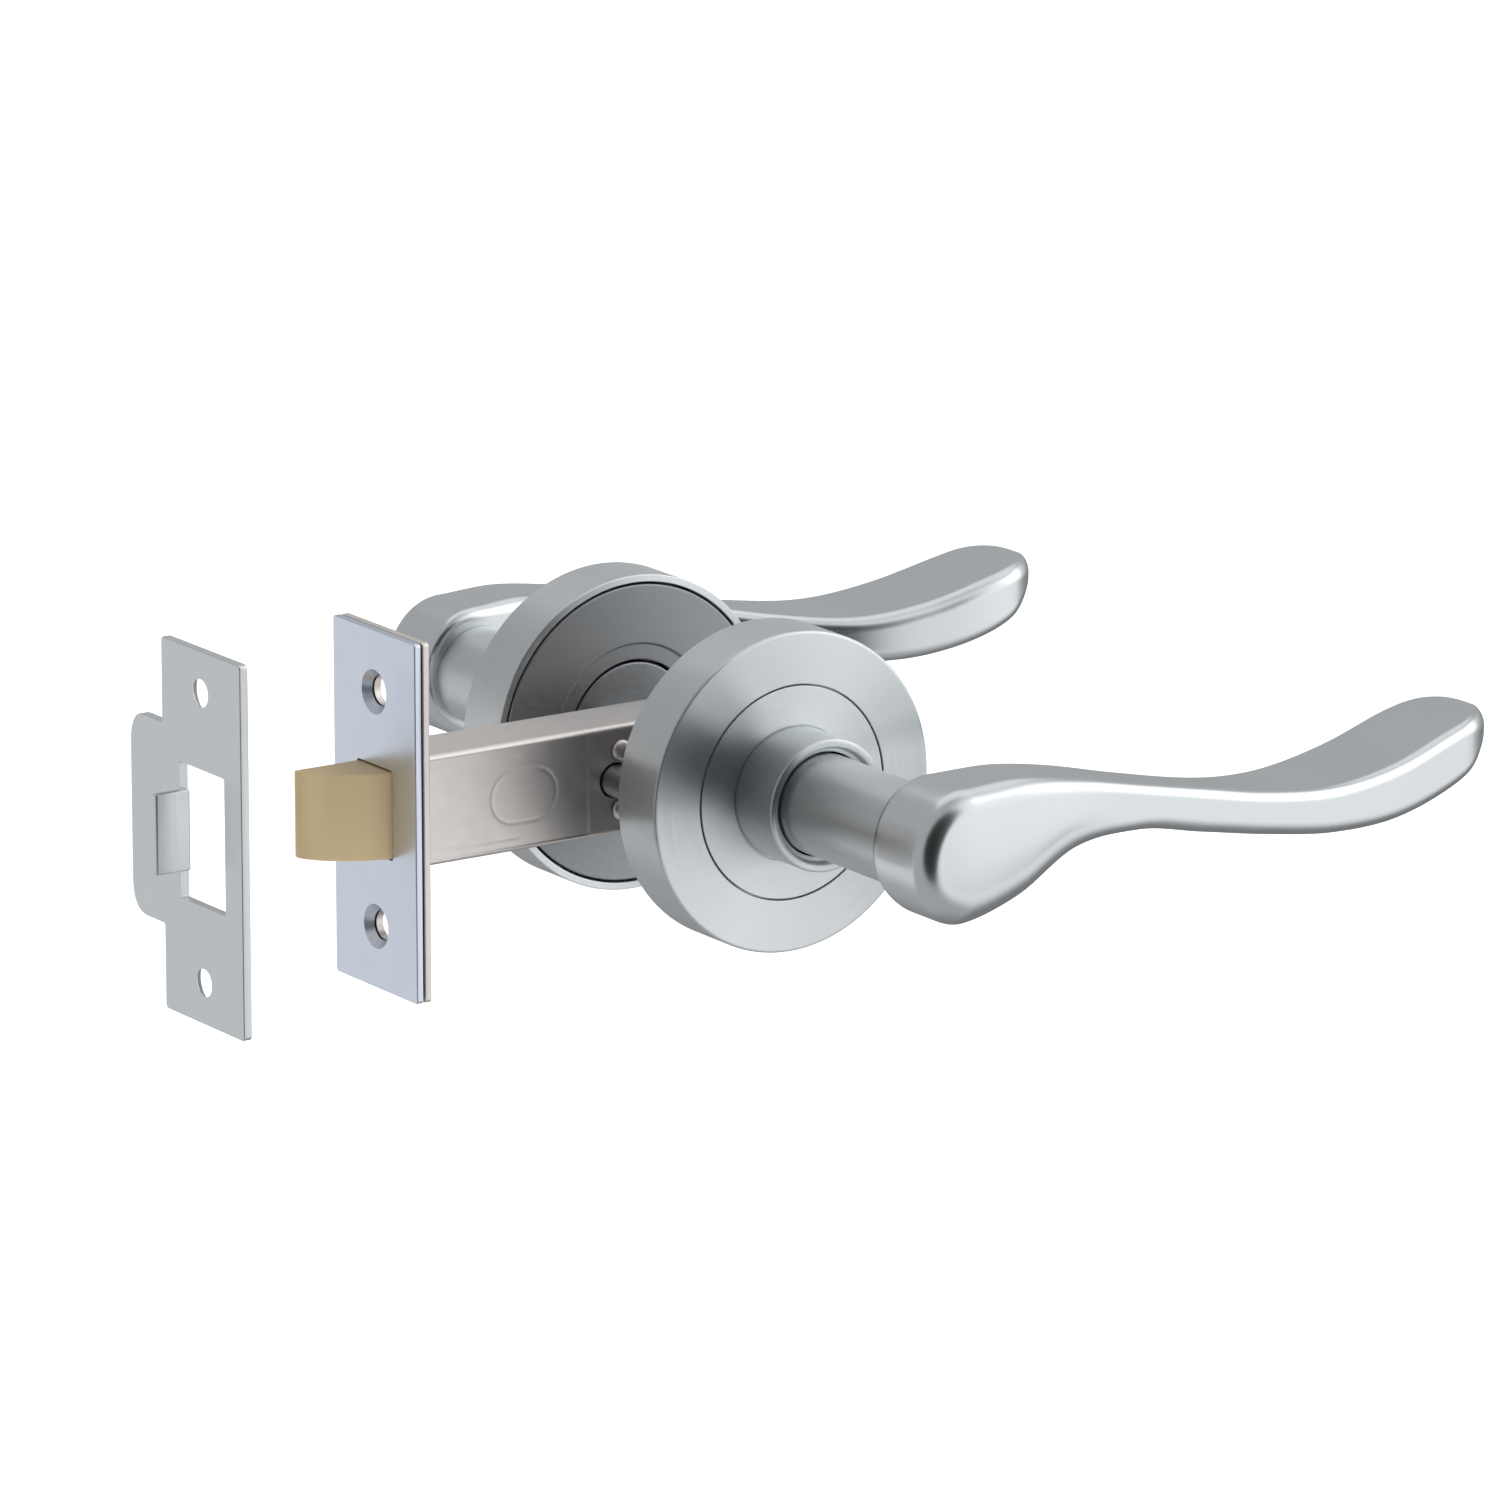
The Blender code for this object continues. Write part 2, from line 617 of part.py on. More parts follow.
def make_spindle():
    half = SPINDLE_SIDE / 2
    low, high = -SPINDLE_REACH, DOOR_THICKNESS + SPINDLE_REACH
    mesh = block_mesh("spindle", (-half, low, -half), (half, high, half))
    spindle = add_part("spindle", mesh, "zinc_plate")
    edges = spindle.modifiers.new("edges", "BEVEL")
    edges.width = 0.5 * MM
    edges.segments = 1


def make_through_bolts(front, rear):
    """Sleeve nuts from the front and bolts from the rear meet inside the door."""
    for sign, place in ((-1, "latch_side"), (1, "hinge_side")):
        reach = sign * FIXING_CENTRES / 2
        bottom = -25 * MM
        sleeve = (
            (0, HEAD_TOP),
            (HEAD_RADIUS, HEAD_TOP),
            (HEAD_RADIUS, HEAD_SEAT),
            (SLEEVE_RADIUS, HEAD_SEAT),
            (SLEEVE_RADIUS, bottom),
            (SLEEVE_BORE, bottom),
            (SLEEVE_BORE, -4 * MM),
            (0, -4 * MM),
        )
        nut = turn_profile(f"sleeve_nut_{place}", sleeve, 16, "zinc_plate", front)
        nut.location.x = reach
        shank = (
            (0, HEAD_TOP),
            (HEAD_RADIUS, HEAD_TOP),
            (HEAD_RADIUS, HEAD_SEAT),
            (BOLT_RADIUS, HEAD_SEAT),
            (BOLT_RADIUS, -28 * MM),
            (0, -28 * MM),
        )
        bolt = turn_profile(f"through_bolt_{place}", shank, 12, "zinc_plate", rear)
        bolt.location.x = reach
        cut_cross(nut, HEAD_TOP, 2.0 * MM, front)
        cut_cross(bolt, HEAD_TOP, 2.0 * MM, rear)


def across(radius, x, z, sides=16):
    """A cutter mesh along Y, right through the latch."""
    return rod_mesh("across", radius, (x, 0, z), (x, DOOR_THICKNESS, z), sides)


def make_forend():
    """Two plates at the door's edge: a bright outer one over the case's own inner one."""
    reach, half_height = FOREND_DEPTH / 2, FOREND_HEIGHT / 2
    layers = (("latch_faceplate", "bright_chrome"), ("latch_inner_forend", "nickel_plate"))
    for k, (name, finish) in enumerate(layers):
        low = FOREND_FACE + k * (FOREND_LAYER + GAP)
        high = low + FOREND_LAYER
        mesh = block_mesh(
            name,
            (low, MIDDLE - reach, -half_height),
            (high, MIDDLE + reach, half_height),
        )
        plate = add_part(name, mesh, finish)
        y, z = LATCH_DEPTH / 2 + GAP, LATCH_HEIGHT / 2 + GAP
        window = block_mesh("window", (low - MM, MIDDLE - y, -z), (high + MM, MIDDLE + y, z))
        boolean(plate, add_cutter(name + "_window", window))
        for sign in (-1, 1):
            cut_screw_hole(plate, (low, MIDDLE, sign * FOREND_HOLES / 2), 1, cone=k == 0)


def cut_screw_hole(plate, mouth, inward, cone=True):
    """A screw hole along X from its mouth, with a right-angled cone for the head."""
    mouth, step = Vector(mouth), Vector((inward, 0, 0))
    hole = rod_mesh("hole", SCREW_HOLE_RADIUS, mouth - 4 * MM * step, mouth + 4 * MM * step)
    boolean(plate, add_cutter(plate.name + "_hole", hole))
    if cone:
        above, below = 0.4 * MM, 2.1 * MM
        sink = rod_mesh(
            "sink",
            SCREW_SINK_RADIUS + above,
            mouth - above * step,
            mouth + below * step,
            far_radius=SCREW_SINK_RADIUS - below,
        )
        boolean(plate, add_cutter(plate.name + "_sink", sink))


def make_latch_case():
    """A folded steel tube, open at the forend, with holes for the follower, bolt and wings."""
    y, z = CASE_DEPTH / 2, CASE_HEIGHT / 2
    outer = block_mesh("case", (CASE_FRONT, MIDDLE - y, -z), (CASE_BACK, MIDDLE + y, z))
    case = add_part("latch_case", outer, "nickel_plate")
    folds = case.modifiers.new("folds", "BEVEL")
    folds.width = 0.6 * MM
    folds.segments = 1
    folds.limit_method = "ANGLE"
    y, z = y - CASE_WALL, z - CASE_WALL
    inside = block_mesh(
        "inside",
        (CASE_FRONT - MM, MIDDLE - y, -z),
        (CASE_BACK - CASE_WALL, MIDDLE + y, z),
    )
    boolean(case, add_cutter("case_inside", inside))
    holes = (
        (FOLLOWER_RADIUS + GAP, 0, 0, 24),
        (SLEEVE_RADIUS + GAP, -FIXING_CENTRES / 2, 0, 16),
        (RIVET_RADIUS + GAP, RIVET_X, RIVET_Z, 10),
        (RIVET_RADIUS + GAP, RIVET_X, -RIVET_Z, 10),
        (REAR_RIVET_RADIUS + GAP, REAR_RIVET_X, 0, 12),
    )
    for k, (radius, x, height, sides) in enumerate(holes):
        boolean(case, add_cutter(f"case_hole_{k}", across(radius, x, height, sides)))
    wing_room = 1.8 * MM
    slot = block_mesh(
        "slot", (-8 * MM, MIDDLE - wing_room, -CASE_HEIGHT), (8 * MM, MIDDLE + wing_room, CASE_HEIGHT)
    )
    boolean(case, add_cutter("case_wing_slots", slot))


def make_rivets():
    rivets = (
        ("latch_rivet_upper", RIVET_RADIUS, RIVET_X, RIVET_Z),
        ("latch_rivet_lower", RIVET_RADIUS, RIVET_X, -RIVET_Z),
        ("latch_rivet_rear", REAR_RIVET_RADIUS, REAR_RIVET_X, 0),
    )
    seat = CASE_DEPTH / 2 + GAP
    for name, radius, x, z in rivets:
        head = 1.75 * radius
        crown = seat + 0.55 * head
        profile = (
            (0, crown),
            (0.7 * head, crown - 0.18 * head),
            (head, seat),
            (radius, seat),
            (radius, -seat),
            (head, -seat),
            (0.7 * head, -crown + 0.18 * head),
            (0, -crown),
        )
        rivet = turn_profile(name, profile, 10, "nickel_plate")
        rivet.location = (x, MIDDLE, z)
        rivet.rotation_euler.x = math.pi / 2


def make_anchor_block():
    """The fixed block behind the latch spring, bored for the through bolt and riveted to the case."""
    y, z = CASE_DEPTH / 2 - CASE_WALL - GAP, 6.3 * MM
    mesh = block_mesh("anchor", (ANCHOR[0], MIDDLE - y, -z), (ANCHOR[1], MIDDLE + y, z))
    anchor = add_part("latch_anchor_block", mesh, "black_nylon")
    boolean(anchor, add_cutter("anchor_bore", across(SLEEVE_RADIUS + GAP, -FIXING_CENTRES / 2, 0)))
    for sign in (-1, 1):
        hole = across(RIVET_RADIUS + GAP, RIVET_X, sign * RIVET_Z, 10)
        boolean(anchor, add_cutter("anchor_rivet_hole", hole))


def make_latch_bolt():
    """The brass bolt: flat on its +Y side, with a convex bevel from its nose on the -Y side."""
    nose = FOREND_FACE - LATCH_THROW
    tail = CARRIAGE_FRONT[0] - GAP
    near, far = MIDDLE - LATCH_DEPTH / 2, MIDDLE + LATCH_DEPTH / 2
    rise, run = far - near - 0.8 * MM, LATCH_THROW - 0.2 * MM
    first, last = math.radians(25), math.radians(80)
    outline = [(tail, far), (nose, far)]
    for lean in np.linspace(last, first, 9):
        deep = (math.cos(first) - math.cos(lean)) / (math.cos(first) - math.cos(last))
        along = (math.sin(lean) - math.sin(first)) / (math.sin(last) - math.sin(first))
        outline.append((nose + run * (1 - along), near + rise * deep))
    outline.append((tail, near))
    z = LATCH_HEIGHT / 2
    mesh = prism_mesh("latch_bolt", outline, -z, z, along="Z")
    add_part("latch_bolt", mesh, "brass")


def make_carriage():
    """The bolt's carriage: a front web and two prongs, each slotted for a wing of the follower."""
    half_web = 3.2 * MM
    low, high = PRONG
    web = block_mesh(
        "latch_carriage",
        (CARRIAGE_FRONT[0], MIDDLE - half_web, -high),
        (CARRIAGE_FRONT[1], MIDDLE + half_web, high),
    )
    carriage = add_part("latch_carriage", web, "zinc_plate")
    for sign, place in ((1, "upper"), (-1, "lower")):
        bottom, top = sorted((sign * low, sign * high))
        bar = block_mesh(
            "prong",
            (CARRIAGE_FRONT[0], MIDDLE - half_web, bottom),
            (PRONG_END, MIDDLE + half_web, top),
        )
        boolean(carriage, add_cutter("prong_" + place, bar), "UNION")
    room = 1.8 * MM
    slot = block_mesh(
        "slot", (-12 * MM, MIDDLE - room, -2 * high), (-2.2 * MM, MIDDLE + room, 2 * high)
    )
    boolean(carriage, add_cutter("carriage_slots", slot))


def make_follower():
    """The brass follower: an eight-pointed hole for the spindle, and two wings for the carriage."""
    half = CASE_DEPTH / 2 + 0.4 * MM
    hub = rod_mesh(
        "latch_follower", FOLLOWER_RADIUS, (0, MIDDLE - half, 0), (0, MIDDLE + half, 0), sides=24
    )
    follower = add_part("latch_follower", hub, "brass")
    for k, angle in enumerate((-WING_ANGLE, math.pi + WING_ANGLE)):
        wing = block_mesh(
            "wing", (-1.3 * MM, -1.5 * MM, 5.9 * MM), (1.3 * MM, 1.5 * MM, WING_REACH)
        )
        helper = add_cutter(f"follower_wing_{k}", wing)
        helper.location = (0, MIDDLE, 0)
        helper.rotation_euler.y = angle
        boolean(follower, helper, "UNION")
    reach = FOLLOWER_SIDE / 2
    for k, angle in enumerate((0, math.pi / 4)):
        square = block_mesh("square", (-reach, -half - MM, -reach), (reach, half + MM, reach))
        helper = add_cutter(f"follower_square_{k}", square)
        helper.location = (0, MIDDLE, 0)
        helper.rotation_euler.y = angle
        boolean(follower, helper)


def make_latch_spring():
    """The compression spring between the carriage and the anchor block."""
    wire, radius, turns = 0.5 * MM, 3.6 * MM, 6
    start = CARRIAGE_FRONT[1] + GAP + wire
    end = ANCHOR[0] - GAP - wire
    steps = turns * 10
    points = []
    for step in range(steps + 1):
        angle = step / steps * turns * math.tau
        x = start + (end - start) * step / steps
        points.append((x, MIDDLE + radius * math.cos(angle), radius * math.sin(angle)))
    wire_part("latch_spring", points, wire, "spring_steel")


def make_strike_plate():
    """The plate on the door frame: an opening for the bolt, a lip that the bevel rides up, and a
    tab bent back from the opening's edge."""
    face = FOREND_FACE - STRIKE_GAP
    back = face - STRIKE_THICKNESS
    opening_height, opening_depth = STRIKE_OPENING
    near = MIDDLE - opening_depth / 2 - 5 * MM
    far = near + STRIKE_DEPTH
    half = STRIKE_HEIGHT / 2
    lip = LIP_HEIGHT / 2
    edge = far + LIP_LENGTH
    outline = [(near, -half), (far, -half), (far, -lip)]
    for sign in (-1, 1):
        for angle in np.linspace(0, math.pi / 2, 5):
            swing = math.sin(angle) if sign < 0 else math.cos(angle)
            fall = math.cos(angle) if sign < 0 else math.sin(angle)
            y = edge - LIP_CORNER * (1 - swing)
            outline.append((y, sign * (lip - LIP_CORNER * (1 - fall))))
    outline += [(far, lip), (far, half), (near, half)]
    plate = add_part("strike_plate", prism_mesh("strike_plate", outline, back, face, "X"), "satin_chrome")
    y, z = opening_depth / 2, opening_height / 2
    hole = block_mesh("opening", (back - MM, MIDDLE - y, -z), (face + MM, MIDDLE + y, z))
    boolean(plate, add_cutter("strike_opening", hole))
    tab_half, tab_depth, tab_thickness = 6.5 * MM, 5 * MM, 1.2 * MM
    top = MIDDLE + y
    tab = block_mesh(
        "tab",
        (back - tab_depth, top - tab_thickness, -tab_half),
        (face - 0.4 * MM, top + 0.5 * MM, tab_half),
    )
    boolean(plate, add_cutter("strike_tab", tab), "UNION")
    for sign in (-1, 1):
        cut_screw_hole(plate, (face, MIDDLE, sign * STRIKE_HOLES / 2), -1)


def make_latch():
    make_forend()
    make_latch_case()
    make_rivets()
    make_anchor_block()
    make_latch_bolt()
    make_carriage()
    make_follower()
    make_latch_spring()


clear_scene()
PARTS = make_collection("door_lever_set")
CUTTERS = make_collection("cutters", hidden=True)
front_side = make_side("front_side", 0, math.pi / 2)
rear_side = make_side("rear_side", DOOR_THICKNESS, -math.pi / 2)
make_furniture("front_", front_side, 1)
make_furniture("rear_", rear_side, -1)
make_spindle()
make_through_bolts(front_side, rear_side)
make_latch()
make_strike_plate()
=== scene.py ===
"""The looks of a pair of lever handles on round roses, with their latch and strike plate."""

import json
import math

import bmesh
import bpy
import numpy as np
from bpy.props import FloatProperty, FloatVectorProperty, PointerProperty
from mathutils import Matrix, Vector


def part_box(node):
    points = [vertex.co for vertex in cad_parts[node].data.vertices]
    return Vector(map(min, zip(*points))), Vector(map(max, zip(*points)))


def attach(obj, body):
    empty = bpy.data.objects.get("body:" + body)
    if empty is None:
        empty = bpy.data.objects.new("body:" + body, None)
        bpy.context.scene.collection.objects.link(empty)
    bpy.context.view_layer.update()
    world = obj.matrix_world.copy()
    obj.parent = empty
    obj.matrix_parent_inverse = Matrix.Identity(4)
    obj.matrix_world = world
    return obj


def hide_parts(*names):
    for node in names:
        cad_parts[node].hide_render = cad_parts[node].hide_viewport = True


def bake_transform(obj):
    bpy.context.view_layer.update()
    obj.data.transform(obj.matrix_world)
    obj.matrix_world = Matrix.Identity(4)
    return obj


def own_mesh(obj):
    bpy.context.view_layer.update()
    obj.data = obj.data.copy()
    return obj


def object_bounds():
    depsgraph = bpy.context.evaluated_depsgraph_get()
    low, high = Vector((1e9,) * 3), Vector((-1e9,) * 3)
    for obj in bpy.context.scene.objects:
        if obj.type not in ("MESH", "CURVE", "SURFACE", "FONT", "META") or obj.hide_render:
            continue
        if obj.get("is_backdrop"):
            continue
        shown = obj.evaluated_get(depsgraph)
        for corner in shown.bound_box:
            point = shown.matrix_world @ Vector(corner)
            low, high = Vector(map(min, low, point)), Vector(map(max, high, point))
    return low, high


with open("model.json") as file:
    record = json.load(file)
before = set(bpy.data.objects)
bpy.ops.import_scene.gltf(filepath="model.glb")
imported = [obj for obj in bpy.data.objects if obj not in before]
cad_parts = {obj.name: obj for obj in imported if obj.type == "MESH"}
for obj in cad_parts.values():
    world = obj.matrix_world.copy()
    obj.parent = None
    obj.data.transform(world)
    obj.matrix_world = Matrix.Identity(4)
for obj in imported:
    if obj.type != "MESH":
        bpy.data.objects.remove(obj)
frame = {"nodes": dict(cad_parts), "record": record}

bl_info = {
    "name": "Door lever set",
    "version": (1, 0, 0),
    "blender": (4, 5, 0),
    "location": "3D View > Sidebar > Lever set",
    "description": "Builds the fine surfaces and finishes of a sprung door lever set",
    "category": "Object",
}

MM = 0.001
SIDES = ("front_", "rear_")


def corners_of(node):
    low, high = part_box(node)
    return np.array(low), np.array(high)


# Sizes of the frame, in metres. Distances are measured outwards from the door's face.
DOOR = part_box("rear_rose_cover")[0].y
MIDDLE = DOOR / 2
ROSE_RADIUS, ROSE_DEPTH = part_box("front_rose_cover")[1].x, -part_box("front_rose_cover")[0].y
BOSS_TOP = -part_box("front_rose_boss")[0].y
PLATE_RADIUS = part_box("front_mounting_plate")[1].x
PLATE_DEPTH = -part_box("front_mounting_plate")[0].y
CASE_LOW, CASE_HIGH = corners_of("latch_case")
FACE_LOW, _ = corners_of("latch_faceplate")
BOLT_LOW, BOLT_HIGH = corners_of("latch_bolt")
STRIKE_LOW, STRIKE_HIGH = corners_of("strike_plate")
SPINDLE_LOW, SPINDLE_HIGH = corners_of("spindle")

# Sections of the grip in mm: along the grip, top, bottom, front face, back face.
GRIP_STATIONS = (
    (-10, 11.1, -10.3, 61.0, 46.3),
    (0, 11.2, -10.9, 61.0, 46.3),
    (10, 11.5, -7.9, 61.0, 47.0),
    (20, 10.1, -1.5, 60.9, 47.3),
    (32, 7.6, -0.2, 60.6, 49.4),
    (45, 4.9, -2.6, 60.1, 49.7),
    (58, 2.3, -5.1, 59.4, 45.1),
    (72, 0.9, -7.1, 58.4, 39.4),
    (85, 2.3, -7.0, 57.2, 36.7),
    (97, 5.4, -4.4, 55.3, 35.5),
    (108.5, 8.3, 0.5, 53.5, 36.8),
)
NECK_RADIUS = 8.15 * MM
NECK_END = 3.2 * MM
GROOVE = (7.2 * MM, 4.0 * MM, 5.6 * MM)  # radius, from, to
SOCKET_SIDE = 8.2 * MM
SOCKET_DEPTH = 34 * MM
GRUB_DISTANCE = 27 * MM
GRUB_RADIUS = 2.5 * MM
FIXING_REACH = 19 * MM  # spindle axis to each through bolt
HEAD_RADIUS, HEAD_SEAT, HEAD_TOP = 3.4 * MM, 5.7 * MM, 7.0 * MM
SLEEVE_RADIUS, SLEEVE_BORE = 2.6 * MM, 2.05 * MM
THREAD_RADIUS = 1.75 * MM
STRIKE_THICKNESS = 1.5 * MM
SCREW_HOLE, SCREW_SINK = 2.25 * MM, 3.6 * MM
PLAY = 0.3 * MM


# ---------------------------------------------------------------- meshes


def to_side(points, prefix):
    """Takes (x, height, distance from the door's face) to the front or the rear of the door."""
    x, height, distance = np.moveaxis(np.asarray(points, float), -1, 0)
    y = -distance if prefix == "front_" else DOOR + distance
    return np.stack([x, y, height], -1)


def smooth_step(distance, width):
    """From 0 to 1 as the distance goes from minus to plus half the width."""
    part = np.clip(distance / width + 0.5, 0, 1)
    return part * part * (3 - 2 * part)


def new_object(name, mesh, smooth):
    mesh.shade_smooth()
    mesh.set_sharp_from_angle(angle=math.radians(smooth))
    made = bpy.data.objects.new(name, mesh)
    bpy.context.scene.collection.objects.link(made)
    return made


def mesh_object(name, points, faces, smooth=30):
    """A new object at the origin, its doubled points merged and its faces turned outwards."""
    mesh = bpy.data.meshes.new(name)
    mesh.from_pydata(np.asarray(points).reshape(-1, 3).tolist(), [], faces)
    work = bmesh.new()
    work.from_mesh(mesh)
    bmesh.ops.remove_doubles(work, verts=work.verts, dist=1e-7)
    bmesh.ops.dissolve_degenerate(work, edges=work.edges, dist=1e-8)
    bmesh.ops.recalc_face_normals(work, faces=work.faces)
    # On a long narrow piece that step can turn every face inwards, which the volume's sign shows.
    if work.calc_volume(signed=True) < 0:
        bmesh.ops.reverse_faces(work, faces=work.faces)
    work.to_mesh(mesh)
    work.free()
    return new_object(name, mesh, smooth)


def grid_faces(rows, columns, wrap_rows=False):
    """The quads of a grid whose columns join up in a ring, and whose rows do where asked."""
    row = np.arange(rows if wrap_rows else rows - 1)[:, None]
    column = np.arange(columns)[None, :]
    after, beside = (row + 1) % rows, (column + 1) % columns
    row, after = row * columns, after * columns
    corners = np.broadcast_arrays(row + column, row + beside, after + beside, after + column)
    return np.stack(corners, -1).reshape(-1, 4).tolist()


def turned_points(profile, steps):
    """Each (radius, distance) of the profile, carried round the spindle's axis."""
    radius, distance = np.asarray(profile, float).T
    angle = np.linspace(0, math.tau, steps, endpoint=False)
    x = radius[:, None] * np.cos(angle)
    height = radius[:, None] * np.sin(angle)
    return np.stack([x, height, np.broadcast_to(distance[:, None], x.shape)], -1)


def round_corners(profile, radii, rows=6, hold=0.05 * MM):
    """The profile with each corner drawn as a parabola that touches both of its sides.

    A point = (1 - t)^2 start + 2 t (1 - t) corner + t^2 end. One more point on each side, a
    little beyond the curve, keeps its shading off the flat.
    """
    profile = np.asarray(profile, float)
    before, after = np.roll(profile, 1, 0), np.roll(profile, -1, 0)
    share = np.linspace(0, 1, rows)[:, None]
    found = []
    for point, last, following, radius in zip(profile, before, after, radii):
        if radius == 0:
            found.append(point[None])
            continue
        reach = []
        for side in (last - point, following - point):
            length = np.linalg.norm(side)
            cut_in = min(radius, 0.45 * length)
            reach.append((side / length * cut_in, side / length * min(cut_in + hold, 0.49 * length)))
        (start, before_start), (end, after_end) = reach
        curve = (1 - share) ** 2 * start + share**2 * end
        found.append(point + np.concatenate([before_start[None], curve, after_end[None]]))
    return np.concatenate(found)


def turned_piece(name, profile, steps, prefix="front_", closed=True, centre=(0, 0)):
    """A profile turned about an axis along Y, as a ring where closed and else from pole to pole."""
    points = turned_points(profile, steps) + np.array([*centre, 0])
    faces = grid_faces(len(profile), steps, wrap_rows=closed)
    return mesh_object(name, to_side(points, prefix), faces)


def close_slivers(mesh):
    """Puts back the thin triangles that a cut can drop where a cutter's edge lies on the piece's own."""
    work = bmesh.new()
    work.from_mesh(mesh)
    corners = {point for edge in work.edges if edge.is_boundary for point in edge.verts}
    if corners:
        bmesh.ops.remove_doubles(work, verts=list(corners), dist=1e-7)
        bmesh.ops.holes_fill(work, edges=[edge for edge in work.edges if edge.is_boundary], sides=4)
        work.to_mesh(mesh)
    work.free()


def apply_cuts(piece, *cutters, operation="DIFFERENCE"):
    """Takes the cutters out of the piece, or joins them to it, and takes the cutters away."""
    for cutter in cutters:
        modifier = piece.modifiers.new("cut", "BOOLEAN")
        modifier.operation = operation
        modifier.object = cutter
    bpy.context.view_layer.update()
    graph = bpy.context.evaluated_depsgraph_get()
    mesh = bpy.data.meshes.new_from_object(piece.evaluated_get(graph))
    if not mesh.polygons:
        raise RuntimeError(f"{piece.name} lost all its faces to a cut")
    close_slivers(mesh)
    piece.modifiers.clear()
    piece.data = mesh
    mesh.shade_smooth()
    mesh.set_sharp_from_angle(angle=math.radians(30))
    for cutter in cutters:
        bpy.data.objects.remove(cutter)
    return piece


def rod(radius, start, end, steps=64, far_radius=None):
    """A closed rod, or a cone, between two points: a circle carried from one to the other."""
    start, end = np.asarray(start, float), np.asarray(end, float)
    axis = (end - start) / np.linalg.norm(end - start)
    side = np.cross(axis, (0, 0, 1) if abs(axis[2]) < 0.9 else (1, 0, 0))
    side /= np.linalg.norm(side)
    up = np.cross(axis, side)
    angle = np.linspace(0, math.tau, steps, endpoint=False)[:, None]
    circle = np.cos(angle) * side + np.sin(angle) * up
    far = radius if far_radius is None else far_radius
    rows = [start + 0 * circle, start + radius * circle, end + far * circle, end + 0 * circle]
    return mesh_object("rod", np.stack(rows), grid_faces(4, steps))


def block(low, high):
    """A plain closed box, for cutting with."""
    low, high = np.sort([low, high], axis=0)
    corner = np.array([(a, b, c) for a in (0, 1) for b in (0, 1) for c in (0, 1)])
    faces = [(0, 1, 3, 2), (4, 6, 7, 5), (0, 4, 5, 1), (2, 3, 7, 6), (0, 2, 6, 4), (1, 5, 7, 3)]
    return mesh_object("block", low + corner * (high - low), faces)


def prism(name, outline, low, high, edge, along="X", rows=5, smooth=40, hold=0.05 * MM):
    """A flat outline carried from low to high, its two rims rounded by quarter circles.

    On a rim each point is drawn in along its own normal by edge x (1 - cos t), while its level
    is drawn in by edge x (1 - sin t). One row a little further in keeps the shading off the ends.
    """
    outline = np.asarray(outline, float)
    ahead = np.roll(outline, -1, 0) - outline
    ahead /= np.linalg.norm(ahead, axis=1, keepdims=True)
    behind = np.roll(ahead, 1, 0)
    inward = np.stack([-(ahead + behind)[:, 1], (ahead + behind)[:, 0]], 1)
    inward /= (1 + (ahead * behind).sum(1))[:, None]
    turn = np.linspace(0, math.pi / 2, rows)
    inset = np.append(edge * (1 - np.cos(turn)), edge + hold)
    level = np.append(edge * (1 - np.sin(turn)), 0)
    insets = np.concatenate([inset[::-1], inset])
    levels = np.concatenate([low + level[::-1], high - level])
    flat = outline[None] + insets[:, None, None] * inward[None]
    level = np.broadcast_to(levels[:, None], flat.shape[:2])
    a, b = flat[..., 0], flat[..., 1]
    order = {"X": (level, a, b), "Y": (a, level, b), "Z": (a, b, level)}[along]
    count = len(outline)
    faces = grid_faces(len(levels), count)
    last = (len(levels) - 1) * count
    faces += [list(range(count))[::-1], [last + k for k in range(count)]]
    return mesh_object(name, np.stack(order, -1), faces, smooth)


def rounded_rectangle(low, high, radius, steps=9):
    """A rectangle whose corners are quarter circles, counter-clockwise."""
    low, high = np.asarray(low, float), np.asarray(high, float)
    found = []
    for quarter, sign in enumerate(((1, 1), (-1, 1), (-1, -1), (1, -1))):
        centre = np.where(np.array(sign) > 0, high - radius, low + radius)
        turn = np.linspace(0, math.pi / 2, steps) + quarter * math.pi / 2
        found.append(centre + radius * np.stack([np.cos(turn), np.sin(turn)], 1))
    return np.concatenate(found)


def soft_path(corners, step=0.1 * MM, width=12):
    """Points every step along straight runs, each then the mean of its neighbours within width."""
    corners = np.asarray(corners, float)
    reached = np.append(0, np.cumsum(np.linalg.norm(np.diff(corners, axis=0), axis=1)))
    places = np.linspace(0, reached[-1], int(reached[-1] / step) + 1)
    line = np.stack([np.interp(places, reached, corners[:, k]) for k in range(3)], 1)
    padded = np.pad(line, ((width, width), (0, 0)), mode="reflect", reflect_type="odd")
    kernel = np.ones(2 * width + 1) / (2 * width + 1)
    return np.stack([np.convolve(padded[:, k], kernel, "valid") for k in range(3)], 1)


def wire_object(name, path, reference, radius, sides=12):
    """A round wire: a circle square to the path at each point, drawn to a centre at both ends.

    The circle is turned to the reference direction given for each point, so it doesn't twist.
    """
    ahead = np.gradient(path, axis=0)
    ahead /= np.linalg.norm(ahead, axis=1, keepdims=True)
    side = reference - (reference * ahead).sum(1, keepdims=True) * ahead
    side /= np.linalg.norm(side, axis=1, keepdims=True)
    up = np.cross(ahead, side)
    angle = np.linspace(0, math.tau, sides, endpoint=False)[None, :, None]
    rings = path[:, None] + radius * (np.cos(angle) * side[:, None] + np.sin(angle) * up[:, None])
    centres = [np.repeat(path[k][None], sides, 0)[None] for k in (0, -1)]
    rows = np.concatenate([centres[0], rings, centres[1]])
    return mesh_object(name, rows, grid_faces(len(rows), sides), smooth=60)


